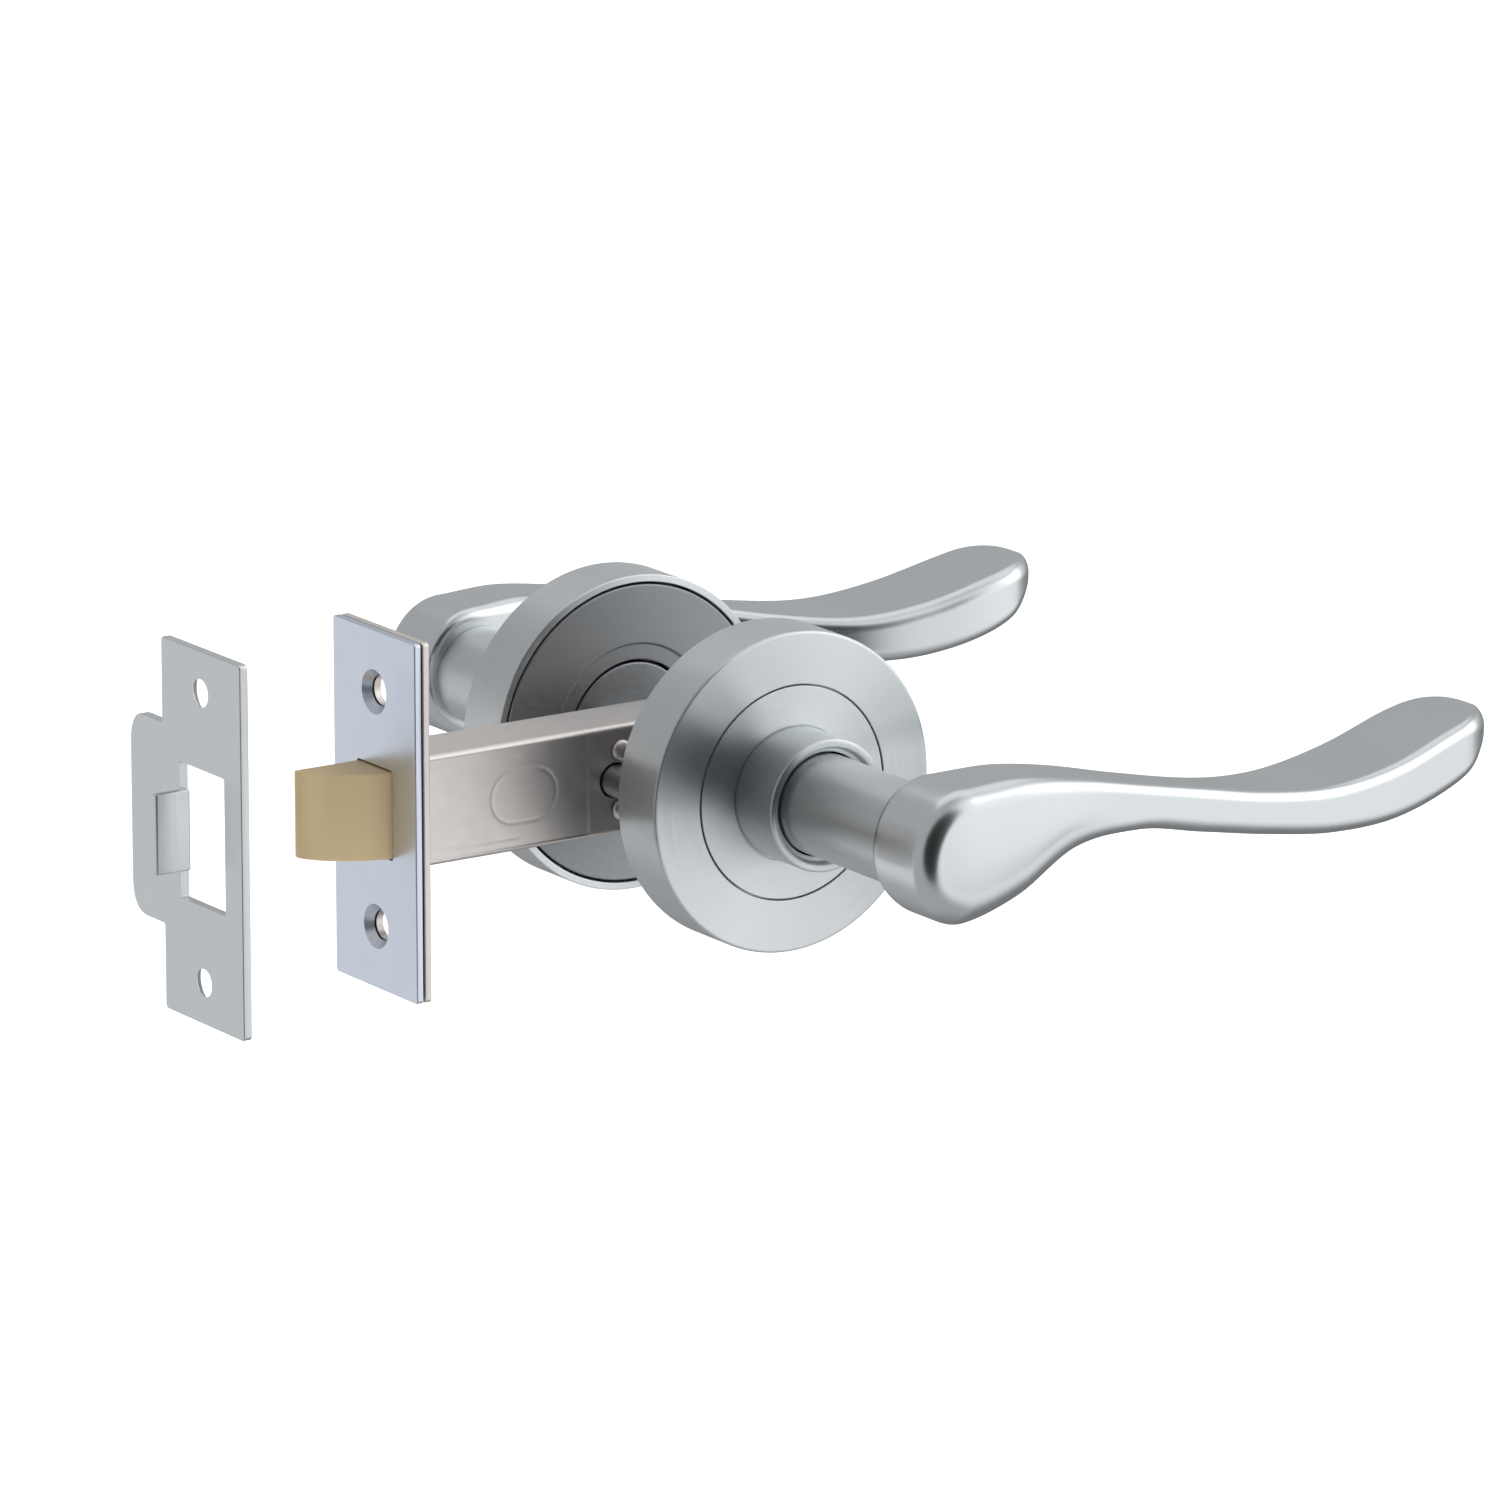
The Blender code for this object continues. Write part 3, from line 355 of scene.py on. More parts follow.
def keep(piece, body, slot, *nodes, finish=None):
    """Hands a finished piece to the frame: its body, its finish and the CAD nodes it stands for."""
    piece.data.materials.clear()
    piece.data.materials.append(finishes()[finish or slot])
    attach(piece, body)
    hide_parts(*nodes)


# ---------------------------------------------------------------- finishes


def linear(colour):
    """An sRGB hex colour as linear light."""
    value = np.array([int(colour[k : k + 2], 16) for k in (1, 3, 5)]) / 255
    low, high = value / 12.92, ((value + 0.055) / 1.055) ** 2.4
    return tuple(np.where(value <= 0.04045, low, high).tolist())


def add_node(tree, kind, inputs=None, output=0, **settings):
    """Adds a node, sets it up, gives each socket a value or a link, and returns one output."""
    node = tree.nodes.new(kind)
    for key, value in settings.items():
        setattr(node, key, value)
    for key, value in (inputs or {}).items():
        if isinstance(value, bpy.types.NodeSocket):
            tree.links.new(value, node.inputs[key])
        else:
            node.inputs[key].default_value = value
    return node.outputs[output]


def new_material(name, metallic=1.0, **sockets):
    """A Principled material. Its constants stand on the shader's own sockets."""
    made = bpy.data.materials.new(name)
    made.use_nodes = True
    shader = made.node_tree.nodes["Principled BSDF"]
    shader.inputs["Metallic"].default_value = metallic
    for key, value in sockets.items():
        shader.inputs[key.replace("_", " ")].default_value = value
    return made, made.node_tree, shader


def vector_step(tree, operation, first, second=(0, 0, 0), output=0):
    return add_node(tree, "ShaderNodeVectorMath", {0: first, 1: second}, output, operation=operation)


def math_step(tree, operation, first, second):
    return add_node(tree, "ShaderNodeMath", {0: first, 1: second}, operation=operation)


def add_tangent(tree, shader, along):
    """Lays the grooves along a direction of the piece's own frame, so that they turn with it."""
    frames = {"vector_type": "VECTOR", "convert_from": "OBJECT", "convert_to": "WORLD"}
    turned = add_node(tree, "ShaderNodeVectorTransform", {0: along}, **frames)
    tree.links.new(turned, shader.inputs["Tangent"])


def add_grain(tree, shader, place, colour, spread, roughness, depth):
    """One noise drives a little of the colour, the roughness and the height of the surface."""
    noise = add_node(tree, "ShaderNodeTexNoise", {"Vector": place, "Scale": 1.0, "Detail": 3.0})
    dark = tuple(part * (1 - spread) for part in colour)
    shades = {"Factor": noise, 6: (*dark, 1), 7: (*colour, 1)}
    mixed = add_node(tree, "ShaderNodeMix", shades, output=2, data_type="RGBA")
    tree.links.new(mixed, shader.inputs["Base Color"])
    low, high = roughness
    spans = {"Value": noise, "From Min": 0.3, "From Max": 0.7, "To Min": low, "To Max": high}
    tree.links.new(add_node(tree, "ShaderNodeMapRange", spans), shader.inputs["Roughness"])
    if depth:
        bump = add_node(tree, "ShaderNodeBump", {"Height": noise, "Distance": depth})
        tree.links.new(bump, shader.inputs["Normal"])


def turned_chrome(name, colour, spacing):
    """Satin chrome plate over turned brass, brushed in the lathe.

    Its scratches are circles round the spindle. Light streaks out across them, so the flat
    faces show two opposite fans of light and dark, and the sides show bands.
    """
    made, tree, shader = new_material(name, Anisotropic=1.0)
    place = add_node(tree, "ShaderNodeTexCoord", output="Object")
    flat = vector_step(tree, "MULTIPLY", place, (1, 0, 1))
    outward = vector_step(tree, "NORMALIZE", flat)
    radius = vector_step(tree, "LENGTH", flat, output="Value")
    depth = add_node(tree, "ShaderNodeSeparateXYZ", {0: place}, output="Y")
    ring = math_step(tree, "MULTIPLY", math_step(tree, "ADD", radius, depth), 1 / spacing)
    # The scratches fade in and out about six times round, as separate strokes do.
    stroke = vector_step(tree, "MULTIPLY", outward, (1.5, 0, 1.5))
    level = add_node(tree, "ShaderNodeCombineXYZ", {"Y": ring})
    grain_place = vector_step(tree, "ADD", stroke, level)
    add_grain(tree, shader, grain_place, colour, 0.05, (0.28, 0.33), 1.2e-6)
    add_tangent(tree, shader, outward)
    return made


def brushed_chrome(name, colour, spacing, groove, anisotropy=0.7, depth=1e-6, roughness=(0.3, 0.36)):
    """Satin chrome plate, brushed in straight strokes by a fine belt.

    The scratches run along the groove, each about forty spacings long, so highlights widen
    across it.
    """
    made, tree, shader = new_material(name, Anisotropic=anisotropy, Anisotropic_Rotation=0.25)
    place = add_node(tree, "ShaderNodeTexCoord", output="Object")
    scale = tuple(1 / spacing if part == 0 else 1 / (40 * spacing) for part in groove)
    grain_place = vector_step(tree, "MULTIPLY", place, scale)
    add_grain(tree, shader, grain_place, colour, 0.05, roughness, depth)
    add_tangent(tree, shader, add_node(tree, "ShaderNodeCombineXYZ", dict(zip("XYZ", groove))))
    return made


def grained(name, colour, roughness, grain, spread=0.1, depth=4e-6, metallic=1.0):
    """A finish with an even grain of one size: plating, casting skin or moulding texture."""
    made, tree, shader = new_material(name, metallic)
    place = add_node(tree, "ShaderNodeTexCoord", output="Object")
    grain_place = vector_step(tree, "MULTIPLY", place, (1 / grain,) * 3)
    add_grain(tree, shader, grain_place, colour, spread, roughness, depth)
    return made


FINISHES = {}


def finishes():
    """Every finish of the set by its slot in the record, made once."""
    if FINISHES:
        return FINISHES
    looks = bpy.context.scene.lever_set_looks
    chrome, nickel, brass = tuple(looks.chrome), tuple(looks.nickel), tuple(looks.brass)
    spacing = looks.scratch_spacing
    FINISHES.update(
        # Zinc die casting polished soft, belt-brushed lengthwise, then satin chromed: an even
        # cool grey that shades smoothly round the form.
        lever_satin_chrome=brushed_chrome(
            "satin_chrome_grip", chrome, spacing, (1, 0, 0), 0.2, 3e-7, (0.24, 0.27)
        ),
        # The same casting brushed round its neck in a lathe.
        neck=turned_chrome("satin_chrome_neck", chrome, spacing),
        rose_satin_chrome=turned_chrome("satin_chrome_rose", chrome, spacing),
        boss_satin_chrome=turned_chrome("satin_chrome_boss", chrome, spacing),
        # Steel strip brushed along its height before it was pressed, then satin chromed.
        strike_satin_chrome=brushed_chrome("satin_chrome_strike", chrome, spacing, (0, 0, 1)),
        # Bare zinc as it leaves the die: dull, faintly mottled.
        zinc_casting=grained("zinc_die_cast", linear("#a9acaf"), (0.4, 0.52), 0.7 * MM, 0.18, 8e-6),
        # Bright zinc plate on steel: pale, slightly blue, softly reflective.
        zinc_plated_steel=grained("steel_zinc_plated", linear("#c8ccd0"), (0.26, 0.38), 0.6 * MM),
        # Hard-drawn wire with a film of oil: dark grey with narrow highlights.
        spring_steel=grained("spring_steel_drawn", linear("#77797c"), (0.28, 0.4), 0.4 * MM),
        # Nylon from a spark-eroded mould: black with a dull sheen.
        black_nylon=grained(
            "nylon_moulded", linear("#1c1c1e"), (0.45, 0.6), 0.2 * MM, 0.1, 3e-6, metallic=0.0
        ),
        # Nickel plate on pressed strip: warm, and soft enough to hide its surroundings.
        nickel_plated_steel=grained("steel_nickel_plated", nickel, (0.4, 0.46), 3 * MM, 0.04, 1e-6),
        # Chrome plate over barrel-polished strip: bluish, with blurred reflections.
        bright_chrome_plate=grained(
            "steel_bright_chrome", linear("#dfe6f2"), (0.3, 0.34), 4.0 * MM, 0.03, 0
        ),
        # Brass pressed from powder and sintered: a matt tan with fine pores.
        bolt_brass=grained("brass_sintered", brass, (0.42, 0.52), 0.3 * MM, 0.06, 4e-6, 0.4),
        # Brass die casting, tumbled: deeper yellow, with soft highlights.
        follower_brass=grained("brass_die_cast", linear("#d9ad62"), (0.2, 0.32), 0.6 * MM, 0.14),
    )
    return FINISHES


# ---------------------------------------------------------------- levers


def through_stations(values, places):
    """A smooth curve through the grip's stations: cubic pieces with their neighbours' slopes."""
    stations = np.array(GRIP_STATIONS)[:, 0] * MM
    slopes = np.gradient(values, stations)
    piece = np.clip(np.searchsorted(stations, places) - 1, 0, len(stations) - 2)
    width = stations[piece + 1] - stations[piece]
    part = (places - stations[piece]) / width
    start = (1 + 2 * part) * (1 - part) ** 2 * values[piece]
    end = part**2 * (3 - 2 * part) * values[piece + 1]
    lean = part * (1 - part) ** 2 * slopes[piece] - part**2 * (1 - part) * slopes[piece + 1]
    return start + end + width * lean


def grip_curves(along):
    """Top, bottom, front and back of the grip at places along it, before its ends close."""
    table = np.array(GRIP_STATIONS) * MM
    return [through_stations(table[:, k], along) for k in range(1, 5)]


def grip_heights(along, sizes):
    """Top, bottom and middle of the grip, the middle drawn to the spindle axis at the bulb."""
    top, bottom, _, _ = grip_curves(along)
    settle = np.clip((along - GRIP_STATIONS[0][0] * MM) / (2 * sizes.bulb_round), 0, 1)
    return top, bottom, (top + bottom) / 2 * settle


def grip_outline(sizes, per_side):
    """The grip's side outline, top edge then bottom edge, and the spine point inside each point.

    The bulb end is a quarter ellipse: along = length x (1 - cos t), height = full height x sin t.
    The tip is blunter: its height is full height x (1 - cos(t)^2.5)^0.4.
    """
    left, right = GRIP_STATIONS[0][0] * MM, GRIP_STATIONS[-1][0] * MM
    ends = np.linspace(0, math.pi / 2, per_side // 5)
    bulb = left + sizes.bulb_round * (1 - np.cos(ends))
    tip = right - sizes.tip_round_height * (1 - np.cos(ends))[::-1]
    body = np.linspace(bulb[-1], tip[0], per_side - 2 * len(ends) + 2)[1:-1]
    along = np.concatenate([bulb, body, tip])
    blunt = (1 - np.cos(ends[::-1]) ** 2.5) ** 0.4
    shut = np.concatenate([np.sin(ends), np.ones(len(body)), blunt])
    top, bottom, middle = grip_heights(along, sizes)
    spine = np.clip(along, left + sizes.bulb_round, right - sizes.tip_round_height)
    over = np.stack([along, middle + shut * (top - middle)], 1)
    under = np.stack([along, middle + shut * (bottom - middle)], 1)
    inner = np.stack([spine, grip_heights(spine, sizes)[2]], 1)
    return np.concatenate([over, under[-2:0:-1]]), np.concatenate([inner, inner[-2:0:-1]])


def half_depth(along, sizes):
    """Half the grip's depth and its middle, closing along an ellipse to a round tip in plan."""
    right = GRIP_STATIONS[-1][0] * MM
    _, _, front, back = grip_curves(along)
    near = np.clip((right - along) / sizes.tip_round_depth, 0.002, 1)
    return (front - back) / 2 * np.sqrt(1 - (1 - near) ** 2), (front + back) / 2


def edge_radii(outline, below, sizes):
    """The radius of the front and of the back edge at each point of the outline.

    The front edge is widest under the bulb. Both blend into the radius along the grip, and then
    into a wider one round the tip.
    """
    place = outline[:, 0]
    blend = smooth_step(place - 17.5 * MM, 25 * MM)
    under = below * smooth_step(place + 6.5 * MM, 7 * MM)
    bulb_edge = sizes.bulb_edge + under * (sizes.bulb_bottom_edge - sizes.bulb_edge)
    grip_edge = np.where(below, sizes.bottom_edge, sizes.top_edge)
    rise = np.maximum(under, smooth_step(place - 1 * MM, 14 * MM))
    back = sizes.back_edge + rise * (sizes.back_far_edge - sizes.back_edge)
    front = bulb_edge + blend * (grip_edge - bulb_edge)
    tip = smooth_step(place - GRIP_STATIONS[-1][0] * MM + 5 * MM, 9 * MM)
    return front + tip * (sizes.tip_edge - front), back + tip * (sizes.tip_edge - back)


def grip_points(sizes, per_side=200, face_rows=10, edge_rows=12, side_rows=5):
    """The grip as rows round its outline: front spine, front face, edge, side, edge, back spine.

    A row on a face is a share of the way from the outline to the spine. A row on an edge turns
    through t: it is radius x (1 - cos t) in from the outline and radius x (1 - sin t) below the
    face. The front face is crowned by a sine of its share.
    """
    outline, spine = grip_outline(sizes, per_side)
    ahead = np.roll(outline, -1, 0) - np.roll(outline, 1, 0)
    normal = np.stack([-ahead[:, 1], ahead[:, 0]], 1)
    normal /= np.linalg.norm(normal, axis=1, keepdims=True)
    inward = spine - outline
    room = np.abs((inward * normal).sum(1))
    below = np.arange(len(outline)) >= per_side
    faces = np.linspace(1, 0, face_rows, endpoint=False)[:, None]
    turns = np.linspace(math.pi / 2, 0, edge_rows)[:, None]
    drop = np.concatenate([0 * faces, 1 - np.sin(turns)])
    crown = np.concatenate([np.sin(faces * math.pi / 2), 0 * turns])
    swell = sizes.crown * (1 - smooth_step(outline[:, 0] - 17.5 * MM, 25 * MM))
    sides = []
    for sign, radius in zip((1, -1), edge_radii(outline, below, sizes)):
        edge = np.minimum(radius, 0.9 * room) / room
        share = np.concatenate([edge + faces * (1 - edge), edge * (1 - np.cos(turns))])
        flat = outline + share[..., None] * inward
        half, middle = half_depth(flat[..., 0], sizes)
        fall = np.minimum(edge * room, 0.9 * half) * drop
        level = middle + sign * (half - fall) + (sign + 1) / 2 * swell * crown
        sides.append(np.concatenate([flat, level[..., None]], -1))
    front, back = sides
    share = np.linspace(0, 1, side_rows + 2)[1:-1, None, None]
    rim = front[-1] + share * (back[-1] - front[-1])
    return np.concatenate([front, rim, back[::-1]])


def neck_profile():
    """The round neck: a shadow line at the bulb, a straight run, and the groove for the circlip."""
    foot, shadow = GRIP_STATIONS[0][4] * MM, NECK_RADIUS - 0.25 * MM
    groove, low, high = GROOVE
    corners = [(0, foot + 0.4 * MM), (shadow, foot + 0.4 * MM), (shadow, foot - 0.2 * MM)]
    corners += [(NECK_RADIUS, foot - 0.45 * MM), (NECK_RADIUS, high), (groove, high)]
    corners += [(groove, low), (NECK_RADIUS, low), (NECK_RADIUS, NECK_END), (0, NECK_END)]
    return round_corners(corners, [k * MM for k in (0, 0, 0, 0.15, 0.1, 0, 0, 0.1, 0.1, 0)])


class LEVERSET_OT_levers(bpy.types.Operator):
    """Makes the two levers: the waved grip with its round bulb, and the neck with its socket"""

    bl_idname = "lever_set.levers"
    bl_label = "Levers"

    def execute(self, context):
        points = grip_points(context.scene.lever_set_sizes)
        rows, columns = points.shape[:2]
        faces = grid_faces(rows, columns)
        slot, half = "lever_satin_chrome", SOCKET_SIDE / 2
        for prefix in SIDES:
            node = prefix + "lever"
            grip = mesh_object(prefix + "grip", to_side(points, prefix), faces, smooth=60)
            keep(grip, node, slot, node)
            neck = turned_piece(prefix + "neck", neck_profile(), 128, prefix, closed=False)
            socket = np.array([(-half, -half, NECK_END - MM), (half, half, SOCKET_DEPTH)])
            hole = np.array([(0, -NECK_RADIUS - MM, GRUB_DISTANCE), (0, -3.7 * MM, GRUB_DISTANCE)])
            thread = rod(GRUB_RADIUS + 0.15 * MM, *to_side(hole, prefix), 48)
            apply_cuts(neck, block(*to_side(socket, prefix)), thread)
            keep(neck, node, slot, node, finish="neck")
            self.make_grub_screw(prefix)
        return {"FINISHED"}

    def make_grub_screw(self, prefix):
        """A headless screw up into the neck: a round prism with a hexagon key hole."""
        node = prefix + "grub_screw"
        low, high = corners_of(node)
        centre = (low + high)[:2] / 2
        angle = np.linspace(0, math.tau, 48, endpoint=False)
        outline = centre + GRUB_RADIUS * np.stack([np.cos(angle), np.sin(angle)], 1)
        screw = prism(node + "_fine", outline, low[2], high[2], 0.25 * MM, "Z")
        apply_cuts(screw, rod(1.45 * MM, (*centre, low[2] - MM), (*centre, low[2] + 1.8 * MM), 6))
        keep(screw, prefix + "lever", "spring_steel", node)


# ---------------------------------------------------------------- roses


def rose_cover_profile(sizes):
    """The turned ring: flat face, small round rim, straight side and a plain wall inside."""
    wall, opening = 1.2 * MM, 17.5 * MM
    inside, roof = ROSE_RADIUS - wall, ROSE_DEPTH - wall
    corners = [(opening, ROSE_DEPTH), (ROSE_RADIUS, ROSE_DEPTH), (ROSE_RADIUS, 0)]
    corners += [(inside, 0), (inside, roof), (opening, roof)]
    return round_corners(corners, [0.12 * MM, sizes.rose_edge, 0.2 * MM, 0.15 * MM, 0, 0])


def rose_boss_profile(sizes):
    """The inner disc, the straight collar, its flat lip, and the cone that drops to the neck."""
    collar, neck, base = 10.75, NECK_RADIUS / MM + 0.3, ROSE_DEPTH / MM
    # The underside of the disc, and the bush's bore with the step that holds it.
    corners = [(17.2, base), (17.2, 9), (18.3, 9), (18.3, 7.5), (14.7, 7.5), (14.7, 8.3), (collar, 8.3)]
    corners += [(collar, 6.5), (9.55, 6.5), (9.55, 18.3), (neck, 18.3), (neck, 19), (9.1, 19.3)]
    # The lip, the collar's outside, and the shadow line at its foot.
    top, foot = BOSS_TOP / MM, (collar + 0.25, base - 0.3)
    corners += [(9.5, top - 0.15), (10, top), (collar, top - 0.1), (collar, foot[1]), foot]
    corners += [(foot[0], base)]
    radii = [0.12, *[0] * 10, 0.1, 0.15, 0.2, 0.2, sizes.collar_edge / MM, 0, 0, 0.08]
    return round_corners(np.array(corners) * MM, np.array(radii) * MM)


class LEVERSET_OT_roses(bpy.types.Operator):
    """Makes the two roses: the cover ring and the inner boss with its collar"""

    bl_idname = "lever_set.roses"
    bl_label = "Roses"

    def execute(self, context):
        sizes = context.scene.lever_set_sizes
        for prefix in SIDES:
            cover = turned_piece(prefix + "rose_cover_fine", rose_cover_profile(sizes), 256, prefix)
            keep(cover, "door_side", "rose_satin_chrome", prefix + "rose_cover")
            boss = turned_piece(prefix + "rose_boss_fine", rose_boss_profile(sizes), 256, prefix)
            keep(boss, "door_side", "boss_satin_chrome", prefix + "rose_boss")
        return {"FINISHED"}


def return_spring_path():
    """The torsion spring's centre line: a leg into the hub, the coil, and a leg to the housing."""
    low, pitch, turns, coil = 3.5 * MM, 1.5 * MM, 2.1, 13.2 * MM
    start = math.radians(200)
    share = np.linspace(0, 1, 300)
    angle = np.concatenate([[start, start], start + share * turns * math.tau, [start + turns * math.tau]])
    radius = np.concatenate([[10.6 * MM, 10.6 * MM], np.full(300, coil), [15.7 * MM]])
    top = low + turns * pitch
    distance = np.concatenate([[1.4 * MM, low], low + share * (top - low), [top]])
    return np.stack([radius * np.cos(angle), radius * np.sin(angle), distance], 1), low, top


class LEVERSET_OT_cassettes(bpy.types.Operator):
    """Makes what lies inside each rose: mounting plate, drive hub and return spring"""

    bl_idname = "lever_set.cassettes"
    bl_label = "Spring cassettes"

    def execute(self, context):
        for prefix in SIDES:
            self.make_plate(prefix)
            self.make_hub(prefix)
            self.make_spring(prefix)
        return {"FINISHED"}

    def make_plate(self, prefix):
        """The plate against the door: a ring with a rebate, two bolt holes and two screw holes."""
        bore, rebate = 12.0 * MM, 0.4 * MM
        corners = [(PLATE_RADIUS, PLATE_DEPTH), (PLATE_RADIUS, 0), (bore + 2.8 * MM, 0)]
        corners += [(bore + 2.5 * MM, rebate), (bore, rebate), (bore, PLATE_DEPTH)]
        profile = round_corners(corners, [k * MM for k in (0.3, 0.3, 0.1, 0.1, 0.15, 0.15)])
        plate = turned_piece(prefix + "mounting_plate_fine", profile, 160, prefix)
        cutters = []
        for sign in (-1, 1):
            reach = sign * FIXING_REACH
            bolt = np.array([(reach, 0, -MM), (reach, 0, 4 * MM)])
            cutters.append(rod(SLEEVE_RADIUS + PLAY, *to_side(bolt, prefix), 48))
            screw = np.array([(0, reach, 0.6 * MM), (0, reach, 4 * MM)])
            cutters.append(rod(1.8 * MM, *to_side(screw, prefix), 32))
        apply_cuts(plate, *cutters)
        keep(plate, "door_side", "zinc_casting", prefix + "mounting_plate")

    def make_hub(self, prefix):
        """The disc that the spindle turns: a square hole, and a slot for the spring's leg."""
        radius, low, high = 11.5 * MM, 0.5 * MM, 2.9 * MM
        corners = ((0, high), (radius, high), (radius, low), (0, low))
        profile = round_corners(corners, [0, 0.3 * MM, 0.3 * MM, 0])
        hub = turned_piece(prefix + "drive_hub_fine", profile, 128, prefix, closed=False)
        half = SOCKET_SIDE / 2
        square = np.array([(-half, -half, -MM), (half, half, 4 * MM)])
        slot = block((9.5 * MM, -1.1 * MM, -MM), (13 * MM, 1.1 * MM, 4 * MM))
        slot.data.transform(Matrix.Rotation(math.radians(200), 4, "Z"))
        slot.data.vertices.foreach_set("co", self.turned_corners(slot, prefix).ravel())
        apply_cuts(hub, block(*to_side(square, prefix)), slot)
        keep(hub, prefix + "lever", "zinc_casting", prefix + "drive_hub")

    def turned_corners(self, piece, prefix):
        """The piece's points, read as (x, height, distance) and taken to their side."""
        points = np.empty(len(piece.data.vertices) * 3)
        piece.data.vertices.foreach_get("co", points)
        return to_side(points.reshape(-1, 3), prefix)

    def make_spring(self, prefix):
        """The torsion spring: a leg into the hub, a coil of about two turns and a leg to the housing."""
        corners, low, top = return_spring_path()
        path = soft_path(corners)
        outward = path * (1, 1, 0)
        outward /= np.linalg.norm(outward, axis=1, keepdims=True)
        reference = to_side(path + outward + (0, 0, 1), prefix) - to_side(path, prefix)
        node = prefix + "return_spring"
        wire = wire_object(node + "_fine", to_side(path, prefix), reference, 0.65 * MM)
        wire.data.materials.append(finishes()["spring_steel"])
        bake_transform(wire)
        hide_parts(node)


# ---------------------------------------------------------------- spindle and bolts


def threaded_rows(radius, depth, pitch, start, end, steps, per_pitch=8):
    """A screw thread: the radius falls by depth x a triangle wave of (level / pitch - turn)."""
    rows = int(round((end - start) / pitch * per_pitch)) + 1
    level = np.linspace(start, end, rows)[:, None]
    turn = np.linspace(0, 1, steps, endpoint=False)[None, :]
    wave = np.abs(((level / pitch - turn) % 1) * 2 - 1)
    fade = np.clip(np.minimum(level - start, end - level) / pitch, 0, 1)
    reach = radius - depth * wave * fade
    angle = turn * math.tau
    shape = np.broadcast_to(level, reach.shape)
    return np.stack([reach * np.cos(angle), reach * np.sin(angle), shape], -1)


class LEVERSET_OT_spindle(bpy.types.Operator):
    """Makes the square spindle, the two sleeve nuts and the two threaded through bolts"""

    bl_idname = "lever_set.spindle"
    bl_label = "Spindle and bolts"

    def execute(self, context):
        half = SPINDLE_HIGH[0]
        outline = rounded_rectangle((-half, -half), (half, half), 0.5 * MM, 6)
        spindle = prism("spindle_fine", outline, SPINDLE_LOW[1], SPINDLE_HIGH[1], 0.5 * MM, "Y")
        keep(spindle, "front_lever", "zinc_plated_steel", "spindle")
        for sign, place in ((-1, "latch_side"), (1, "hinge_side")):
            self.make_bolt(sign, "through_bolt_" + place)
            self.make_sleeve(sign, "sleeve_nut_" + place)
        return {"FINISHED"}

    def make_bolt(self, sign, node):
        """From the rear: a cheese head, a plain shank and a thread that enters the sleeve."""
        steps = 48
        end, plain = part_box(node)[0].y - DOOR, -6 * MM
        pitch = bpy.context.scene.lever_set_sizes.thread_pitch
        thread = threaded_rows(THREAD_RADIUS, 0.3 * MM, pitch, end + 0.4 * MM, plain, steps)
        corners = ((THREAD_RADIUS, plain), (THREAD_RADIUS, HEAD_SEAT), (HEAD_RADIUS, HEAD_SEAT))
        corners += ((HEAD_RADIUS, HEAD_TOP), (0, HEAD_TOP))
        head = round_corners(corners, [0, 0, 0.1 * MM, 0.5 * MM, 0])
        nose = turned_points(((0, end), (1.3 * MM, end)), steps)
        rows = np.concatenate([nose, thread, turned_points(head, steps)])
        rows = rows + np.array([sign * FIXING_REACH, 0, 0])
        faces = grid_faces(len(rows), steps)
        bolt = mesh_object(node + "_fine", to_side(rows, "rear_"), faces, smooth=50)
        self.cut_cross(bolt, sign, "rear_")
        keep(bolt, "door_side", "zinc_plated_steel", node)

    def make_sleeve(self, sign, node):
        """From the front: a cheese head and a plain tube, open at its far end for the bolt."""
        reach, floor = -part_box(node)[1].y, -4 * MM
        corners = [(0, HEAD_TOP), (HEAD_RADIUS, HEAD_TOP), (HEAD_RADIUS, HEAD_SEAT)]
        corners += [(SLEEVE_RADIUS, HEAD_SEAT), (SLEEVE_RADIUS, reach), (SLEEVE_BORE, reach)]
        corners += [(SLEEVE_BORE, floor), (0, floor)]
        profile = round_corners(corners, [k * MM for k in (0, 0.5, 0.1, 0, 0.2, 0.15, 0, 0)])
        centre = (sign * FIXING_REACH, 0)
        sleeve = turned_piece(node + "_fine", profile, 64, closed=False, centre=centre)
        self.cut_cross(sleeve, sign, "front_")
        keep(sleeve, "door_side", "zinc_plated_steel", node)

    def cut_cross(self, screw, sign, prefix):
        """The driver's cross recess in the head."""
        centre, deep = sign * FIXING_REACH, HEAD_TOP - 0.8 * MM
        cutters = []
        for a, b in ((2.0 * MM, 0.45 * MM), (0.45 * MM, 2.0 * MM)):
            ends = np.array([(centre - a, -b, deep), (centre + a, b, HEAD_TOP + MM)])
            cutters.append(block(*to_side(ends, prefix)))
        apply_cuts(screw, *cutters)


# ---------------------------------------------------------------- latch


def pressed(x, z, depth):
    """How far the sheet lies below its highest level at (x, z), from the press tool.

    A square patch stands proud by the depth. A long oval ring and two lines along the edges are
    sunk by a share of it. Each is a smooth step of the distance to its outline.
    """
    patch = smooth_step(5.0 * MM - np.abs(x + 19.0 * MM), 0.35 * MM)
    beyond = np.maximum(np.abs(x + 36 * MM) - 1.8 * MM, 0)
    oval = smooth_step(0.25 * MM - np.abs(np.hypot(beyond, z) - 4.2 * MM), 0.45 * MM)
    near_forend = smooth_step(-37 * MM - x, 1.5 * MM)
    lines = smooth_step(0.2 * MM - np.abs(np.abs(z) - 6.6 * MM), 0.35 * MM) * near_forend
    dots = np.exp(-(((x + 55.4 * MM) / (0.4 * MM)) ** 2) - (((np.abs(z) - 2 * MM) / (0.4 * MM)) ** 2))
    return depth * (1 - patch) + 0.6 * depth * (oval + lines) + depth * dots


